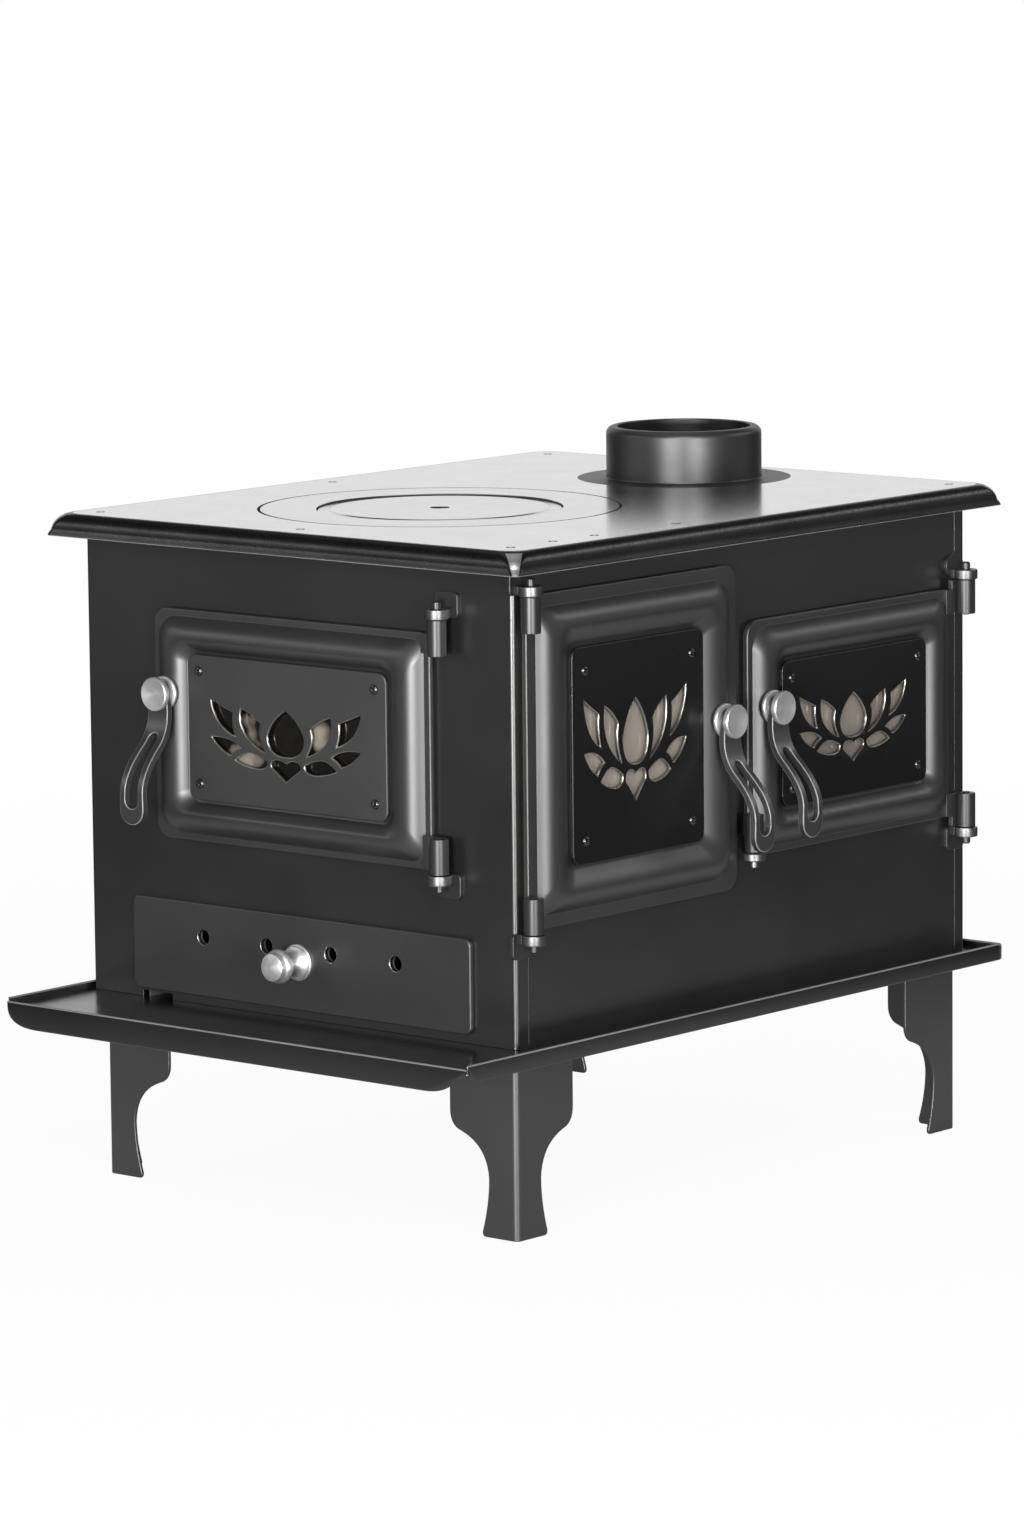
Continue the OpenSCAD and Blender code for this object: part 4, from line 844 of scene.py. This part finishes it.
def deck_screws():
    """Flush countersunk screws round the edge of the cooking plate."""
    flush = screw_head("flush_screw", [(2.0, -2.05), (3.95, -0.1), (3.8, 0.0)],
                       1.75, 0.22, ((0.0, 1.0), (-1.0, 0.9)), -1.1)
    edge, step = 9, 50
    spots = ([(edge + step * k, edge) for k in (0, 1, 2, 4)] + [(BODY_L - edge, edge)]
             + [(x, BODY_W - edge) for x in (edge, BODY_L / 2, BODY_L - edge)]
             + [(edge, BODY_W / 2)])
    scatter("deck_screws", flush, [at(x, y, TOP_Z) for x, y in spots], UP, 11, ZINC,
            "stove_body", ["top_screws"])

plate_screws()
deck_screws()

# ------ hinges on the casing

def hinges():
    """Rings over and under the barrels, their plates on the casing, and the pins."""
    rings, plates, pins = bmesh.new(), bmesh.new(), bmesh.new()
    reach = BARREL_L + RING_H + 7.3
    pin = [(0, 0), (PIN_R - 1, 0), (PIN_R, 1), (PIN_R, reach - 1), (PIN_R - 1, reach), (0, reach)]
    ring_profile = tube_profile(PIN_R + 0.02, RING_R, 0, RING_H, 1.0)
    for key, door in DOORS.items():
        put = door["place"]
        x = door["w"] + door["out"]
        for upper in (True, False):
            ring_z = door["up"] + HINGE_GAP if upper else door["low"] - HINGE_GAP - RING_H
            plate_z = ring_z if upper else ring_z - WALL_PLATE_BEYOND
            pin_z = ring_z - 1 - BARREL_L - HINGE_GAP if upper else ring_z - 6
            lathe(rings, ring_profile, put(x, HINGE_V, ring_z), UP, 48)
            corner = 9.8 if key == "oven" and upper else 4
            prism(plates, rounded(x - WALL_PLATE_HALF, plate_z, x + WALL_PLATE_HALF,
                                  plate_z + RING_H + WALL_PLATE_BEYOND, corner),
                  [], 0.05, 3, put, 0.6, 0.1)
            block(plates, x - 6, x + 6, 2.5, 6.5, ring_z + 0.2, ring_z + RING_H - 0.2, put, 0.8)
            lathe(pins, pin, put(x, HINGE_V, pin_z), UP, 40)
    add_piece("hinge_rings", rings, BRIGHT, "stove_body", ["hinge_brackets"], 35)
    add_piece("hinge_wall_plates", plates, BARREL, "stove_body", ())
    add_piece("hinge_pin_set", pins, BARREL, "stove_body", ["hinge_pins"], 35)

def spare_knuckle():
    """The knuckle on the free edge of the oven door, which holds no hinge."""
    centre = DOORS["oven"]["place"](-3, HINGE_V, 2)
    bm = bmesh.new()
    lathe(bm, [(0, 4.3), (7.1, 4.3), (7.5, 4.45), (BARREL_R, 4.8), (BARREL_R, 33.5),
               (7.5, 33.85), (7.1, 34), (0, 34)], centre, UP, 40)
    add_piece("spare_knuckle_barrel", bm, BARREL, "oven_door", ["oven_door_spare_knuckle"],
              35)
    bm = bmesh.new()
    lathe(bm, [(0, -8.7), (2.6, -8.7), (PIN_R, -7.8), (PIN_R, -2.9), (RING_R - 1, -2.9),
               (RING_R, -1.9), (RING_R, 3.1), (RING_R - 1, 4.1), (0, 4.1)], centre, UP, 48)
    add_piece("spare_knuckle_ring", bm, BRIGHT, "oven_door", (), 35)

hinges()
spare_knuckle()

# ------ top, rings and collar

def rim_levels():
    """(inset, height, corner radius) from the inner foot of the rim round it to the flat."""
    levels = [(6.5, DECK_Z, 5), (6, 526.5, 5), (3.2, 525.8, 5), (3, 521, 5), (2.6, 520.1, 5.4),
              (1.6, 520, 6), (0.4, 520.15, 6), (0, 520.8, 6), (0.45, 522.5, 6.5), (1.5, 525, 8)]
    steps = 14
    for k in range(1, steps + 1):
        a = math.radians(90 * k / steps)
        levels.append((1.5 + 9 * (1 - math.cos(a)), 525 + 13 * math.sin(a), 8 + 10 * k / steps))
    return levels + [(11.3, TOP_Z, 17.5)]

def cooking_plate():
    """The rounded rim is one skin from its inner foot up to the flat; the flat is filled."""
    rim, wall, corner, edge = 1, 2, 3, 4  # the extra materials, in their order
    bm = bmesh.new()
    rows = skin(bm, [
        [at(x, y, z) for x, y in rounded(-OVERHANG + d, -OVERHANG + d, BODY_L + OVERHANG - d,
                                         BODY_W + OVERHANG - d, r, 14)]
        for d, z, r in rim_levels()
    ], closed=False)
    bm.normal_update()
    for face in bm.faces:
        slant = face.normal.copy()
        slant.z = 0.0
        cornered = min(abs(slant.x), abs(slant.y)) > 0.3 * max(slant.length, 1e-9)
        # faces round the corners take the pale metal, a painted highlight; the rest of the rim
        # takes the dark rim steel
        face.material_index = corner if cornered and face.normal.z < 0.93 else rim
        # the lowest outer edge takes the pale grey, a painted highlight along the rim's lower edge
        if 520.2 < face.calc_center_median().z / MM < 520.9 and not cornered:
            face.material_index = edge

    def bore(x, y, levels):
        """The wall of a round hole, from its upper edge down."""
        made = [[bm.verts.new(at(px, py, z)) for px, py in ring(x, y, r, 128)]
                for r, z in levels]
        for lower, upper in zip(made, made[1:]):
            band(bm, lower, upper, wall)
        return made

    # the hole walls take the dark inside colour, painted shade for the gaps round the ring and the
    # collar
    hot = bore(*HOT_AT, [(146.3, TOP_Z), (145.6, TOP_Z - 1.1), (145.5, DECK_Z)])
    flue = bore(*FLUE_AT, [(88.5, TOP_Z), (88.3, TOP_Z - 0.2), (88.3, TOP_Z - 3),
                           (56.5, TOP_Z - 3), (56.5, DECK_Z)])
    fill(bm, [rows[-1], hot[0], flue[0]])
    fill(bm, [rows[0], hot[-1], flue[-1]])
    add_piece("cooking_plate", bm, TOP, "stove_body", ["top_plate"], angle=40,
              extra=(PAINT_RIM, INNER_AND_GAP_SHADE, RIM_CORNER_HIGHLIGHT, EDGE_HIGHLIGHT))

def cooking_rings():
    """The large ring, and the small lid with the rod that its lifter takes hold of."""
    # the steep walls of ring and lid take the dark inside colour, painted shade for the gaps round
    # them
    centre = at(*HOT_AT, 0)
    bm = bmesh.new()
    lathe(bm, [(90, 527.3), (108, 527.3), (108, 533.3), (144.2, 533.3), (144.5, 533.6),
               (144.5, 537.0), (143.8, 538), (99.4, 538), (99, 537.6), (99, 530.3), (90, 530.3)],
          centre, UP, 128, dark_sides=True)
    add_piece("large_cooking_ring", bm, RINGS, "cooking_ring", ["hotplate_ring"], 35,
              extra=(INNER_AND_GAP_SHADE,))
    bm = bmesh.new()
    lathe(bm, [(0, 530.6), (97.6, 530.6), (98, 531), (98, 536.1), (97.6, 536.5), (90, 536.5),
               (88.8, 536.9), (88, 537.4), (87.4, 537.5), (8.3, 537.5), (8, 537.2), (8, 532),
               (0, 532)], centre, UP, 128, dark_sides=True)
    lathe(bm, [(0, -8.5), (1.5, -8.5), (1.5, 8.5), (0, 8.5)], at(*HOT_AT, 535), (1, 0, 0), 20)
    add_piece("small_lid", bm, RINGS, "cooking_lid", ["hotplate_lid"], 35,
              extra=(INNER_AND_GAP_SHADE,))

def collar():
    """The spun collar: a flange let into the plate, a small fillet and a rounded lip."""
    bm = bmesh.new()
    lathe(bm, [(55, 535), (87.7, 535), (88, 535.3), (88, 537.8), (87.8, 538), (67, 538),
               (65.2, 538.5), (64.5, 540)] + arc(58.5, 575, range(0, 91, 9), 6)
          + [(56.2, 581), (55.3, 580.6), (55, 579.8)], at(*FLUE_AT, 0), UP, 128)
    add_piece("spun_collar", bm, PAINT_COLLAR, "stove_body", ["flue_collar"], 40)

cooking_plate()
cooking_rings()
collar()

# ------ ash drawer

def drawer_face():
    """The drawer's flat front with its four air holes."""
    holes = [ring(220 + 67.5 * k, 207.5, 6, 40) for k in (-1.5, -0.5, 0.5, 1.5)]
    bm = bmesh.new()
    prism(bm, rounded(42.5, 159.5, 397.5, 234.5, 6), holes, 0.6, 4.6, lambda y, v, z: at(-v, y, z),
          1.2, 0.3, wall_material=1, hole_bevel=0.7)
    add_piece("drawer_face", bm, PAINT_DOOR, "ash_drawer", ["drawer_front"],
              extra=(CUT_EDGE,))

def drawer_knob():
    """A turned knob: a base with a bead, a slender neck and a flattened ball."""
    centre, axis = at(-4.6, 220, 198), (-1, 0, 0)
    bm = bmesh.new()
    lathe(bm, [(0, 0), (14.2, 0), (14.5, 0.4), (14.5, 1.5), (14.0, 2.1), (13.1, 2.4),
               (13.5, 3.0), (13.5, 3.8), (12.9, 4.6), (10.9, 5.2), (9.2, 6.4), (8.0, 8.0),
               (6.9, 9.8), (6.5, 11.5), (6.5, 14.0), (6.7, 15.6)]
          + arc(0, 23, range(-60, 31, 6), KNOB_R, 8)
          + [(10.9, 31.3), (10.3, 31.8), (0, 34.5)], centre, axis, 96)
    add_piece("drawer_turned_knob", bm, knob_metal("drawer", centre, axis), "ash_drawer",
              ["drawer_knob"], angle=30)

drawer_face()
drawer_knob()

# ------ sheet pieces and insides

for node in ("fire_end_panel", "oven_end_panel", "front_panel", "back_panel"):
    dress(node, PAINT, 0.35)
for node in ("leg_fire_front", "leg_fire_back", "leg_oven_front", "leg_oven_back"):
    dress(node, PAINT_LEG, 0.8)

def tray():
    """The tray plate and its four strips with rounded lips."""
    x0, x1, y0, y1 = -95.0, BODY_L + 10, -31.0, BODY_W + 5
    low, mid, high, side_low, side_high = 134.0, 140.3, 155.0, 144.0, 158.0
    edge, strip_t, soft = 2.2, 2.5, 1.1
    bm = bmesh.new()
    prism(bm, [(x0 + edge, y0 + edge), (x1 - edge, y0 + edge), (x1 - edge, y1 - edge),
               (x0 + edge, y1 - edge)], [], LEG_H, BASE_Z, lambda x, v, y: at(x, y, v), 0.2)
    # at the fire end the strip sweeps up to the front corner and round at the back
    fire = ([(y0, high)] + bow((y0, LEG_H), (y0 + 11, LEG_H - 0.5), (y0 + 18, mid))
            + bow((y0 + 18, mid), (y0 + 27, low), (y0 + 45, low))
            + bow((y1 - 32, low), (y1, low), (y1, high - 4)) + [(y1, high - 4), (y1, high)])
    prism(bm, fire, [], -x0 - strip_t, -x0, lambda y, v, z: at(-v, y, z), soft)
    prism(bm, rounded(y0, side_low, y1, side_high, 2, 4), [], x1 - strip_t, x1,
          lambda y, v, z: at(v, y, z), soft)
    hollow = arc(x0, 137, range(82, 34, -4), 12)
    side = [(x0 + 1.5, side_high), *hollow, (x0 + 9.75, side_low), (x1 - edge, side_low),
            (x1 - edge, side_high)]
    for v0, turn in ((-y0 - strip_t, -1), (y1 - strip_t, 1)):
        prism(bm, side, [], v0, v0 + strip_t, lambda x, v, z: at(x, turn * v, z), soft)
    # the lips take the pale grey along their upper edges, a painted highlight
    for face in bm.faces:
        centre = face.calc_center_median() / MM
        lip = high if centre.x + MID_X < x0 + strip_t else side_high
        face.material_index = int(centre.z > lip - 1.0)
    add_piece("folded_tray", bm, PAINT_TRAY, "stove_body", ["base_tray"],
              extra=(EDGE_HIGHLIGHT,))

tray()

# nodes that keep their CAD shape
PLAIN = {
    "top_frame": INNER_AND_GAP_SHADE, "hotplate_seat": INNER_AND_GAP_SHADE, "firebox_partition": INNER_AND_GAP_SHADE,
    "firebox_floor": INNER_AND_GAP_SHADE, "grate": IRON, "firebricks_side": CLAY, "firebricks_back": CLAY,
    "oven_box": ENAMEL, "oven_rails": RACK, "oven_rack": RACK, "drawer_guides": INNER_AND_GAP_SHADE,
    "drawer_box": INNER_AND_GAP_SHADE, "drawer_knob_screw": ZINC,
}
for key in DOORS:
    PLAIN[key + "_glass"] = GLASSES[key]
    PLAIN[key + "_back_plate"] = INNER_AND_GAP_SHADE
    PLAIN[key + "_seal"] = ROPE
    PLAIN[key + "_handle_latch"] = INNER_AND_GAP_SHADE
for node, material in PLAIN.items():
    mesh = frame["nodes"][node].data
    mesh.materials.clear()
    mesh.materials.append(material)

# ------ floor, world and lamps

def floor():
    """Pale floor: white to the camera with the stove's own shadow, dim in reflections."""
    bpy.ops.mesh.primitive_plane_add(size=30)
    obj = bpy.context.object
    obj.name = "floor"
    shift = 2.0  # the plane reaches farther behind the stove than in front of it
    obj.location = (shift, shift, 0)
    s = Shader("white studio floor")
    ray = s.add("ShaderNodeLightPath")
    matt = s.add("ShaderNodeBsdfDiffuse", {"Color": linear("ececec")})
    glow = s.add("ShaderNodeEmission", {"Color": (1, 1, 1, 1), "Strength": 1.0})
    reach = s.add("ShaderNodeVectorMath", {0: s.place(), 1: (-shift, -shift, 0.0)},
                  operation="DISTANCE").outputs["Value"]
    # in reflections it is pale beside the stove and dim farther out
    dim = s.add("ShaderNodeBsdfDiffuse", {
        "Color": s.mix(s.span(reach, 0, 1, 0.7, 1.35), linear("d0d0d0"), linear("363636"))})
    # the shadow fades out away from the stove, so the floor meets the white behind it
    part = s.add("ShaderNodeMath", {0: ray.outputs["Is Camera Ray"],
                                    1: s.span(reach, 0.94, 1.0, 0.8, 2.4)}, operation="MULTIPLY")
    seen = s.add("ShaderNodeMixShader", {0: part.outputs["Value"], 1: matt.outputs["BSDF"],
                                         2: glow.outputs["Emission"]})
    both = s.add("ShaderNodeMixShader", {0: ray.outputs["Is Glossy Ray"],
                                         1: seen.outputs["Shader"], 2: dim.outputs["BSDF"]})
    s.tree.links.new(both.outputs["Shader"], s.out.inputs["Surface"])
    obj.data.materials.append(s.material)

def world_light():
    """White to the camera, a soft grey room to the light and a darker one to reflections."""
    world = bpy.data.worlds.new("studio")
    bpy.context.scene.world = world
    world.use_nodes = True
    tree = world.node_tree
    tree.nodes.clear()
    out = tree.nodes.new("ShaderNodeOutputWorld")
    ray = tree.nodes.new("ShaderNodeLightPath")

    def background(colour, strength):
        look = tree.nodes.new("ShaderNodeBackground")
        look.inputs["Color"].default_value = colour
        look.inputs["Strength"].default_value = strength
        return look.outputs[0]

    grey, white = (0.8, 0.81, 0.82, 1), (1, 1, 1, 1)
    last = background(grey, 0.42)
    for kind, look in (("Is Glossy Ray", background(grey, 0.12)),
                       ("Is Camera Ray", background(white, 1.0))):
        mix = tree.nodes.new("ShaderNodeMixShader")
        tree.links.new(ray.outputs[kind], mix.inputs[0])
        tree.links.new(last, mix.inputs[1])
        tree.links.new(look, mix.inputs[2])
        last = mix.outputs[0]
    tree.links.new(last, out.inputs["Surface"])

def lamp(name, spot, aim, size, level):
    """A soft box; level is how bright its face looks in a mirror, 1 being white."""
    data = bpy.data.lights.new(name, "AREA")
    data.shape = "RECTANGLE"
    data.size, data.size_y = size
    data.energy = level * math.pi * size[0] * size[1]
    obj = stand(name, data)
    obj.location = spot
    obj.rotation_euler = (Vector(aim) - Vector(spot)).to_track_quat("-Z", "Y").to_euler()
    obj.visible_camera = False

floor()
world_light()
# the bright lines on straps, barrels, folds and mouldings
lamp("near_left", (-3.9, -1.5, 0.4), (0, 0, 0.4), (1.1, 0.76), 70.0)
lamp("near_right", (-2.1, -3.64, 0.4), (0, 0, 0.4), (1.1, 0.76), 46.0)
lamp("near_high", (-2.7, -2.3, 2.3), (0, 0, 0.5), (1.5, 0.9), 15.0)
# the lights on the left and the right of the collar
lamp("far_left", (-2.9, 2.5, 1.6), (0, 0, 0.4), (2.4, 0.5), 3.0)
lamp("far_right", (2.9, -2.5, 2.3), (0, 0, 0.4), (2.4, 0.5), 4.4)
# what the cooking plate mirrors from the photograph's side
lamp("back_wall", (2.9, 2.5, 1.3), (0, 0, 0.6), (5.0, 2.4), 0.83)
# a weak wash over the rest
lamp("left_wall", (-2.2, 2.2, 0.5), (0, 0, 0.4), (1.8, 1.6), 0.25)
lamp("right_wall", (2.2, -2.2, 0.5), (0, 0, 0.4), (1.8, 1.6), 0.25)
lamp("overhead", (0.2, 0.4, 3.2), (0, 0, 0.5), (2.6, 2.6), 0.5)

# ------ camera

def camera():
    """The photograph's view, from a perspective fit of the casing, doors, top and legs."""
    focal_px, photo_height_px, sensor_mm = 6879.85, 1536, 36.0
    data = bpy.data.cameras.new("camera")
    data.sensor_width = sensor_mm
    data.lens = focal_px / photo_height_px * sensor_mm
    data.clip_end = 60
    obj = stand("camera", data)
    forward = Vector((0.7541662, 0.64033809, -0.14560384))
    right = Vector((0.64608193, -0.76320268, -0.00999011))
    up = Vector((0.11752229, 0.0865378, 0.98929254))
    turn = Matrix((right, up, -forward)).transposed().to_4x4()
    obj.matrix_world = Matrix.Translation(at(-3945.74, -3347.98, 1132.29)) @ turn
    bpy.context.scene.camera = obj

camera()
bpy.context.scene.view_settings.view_transform = "Standard"
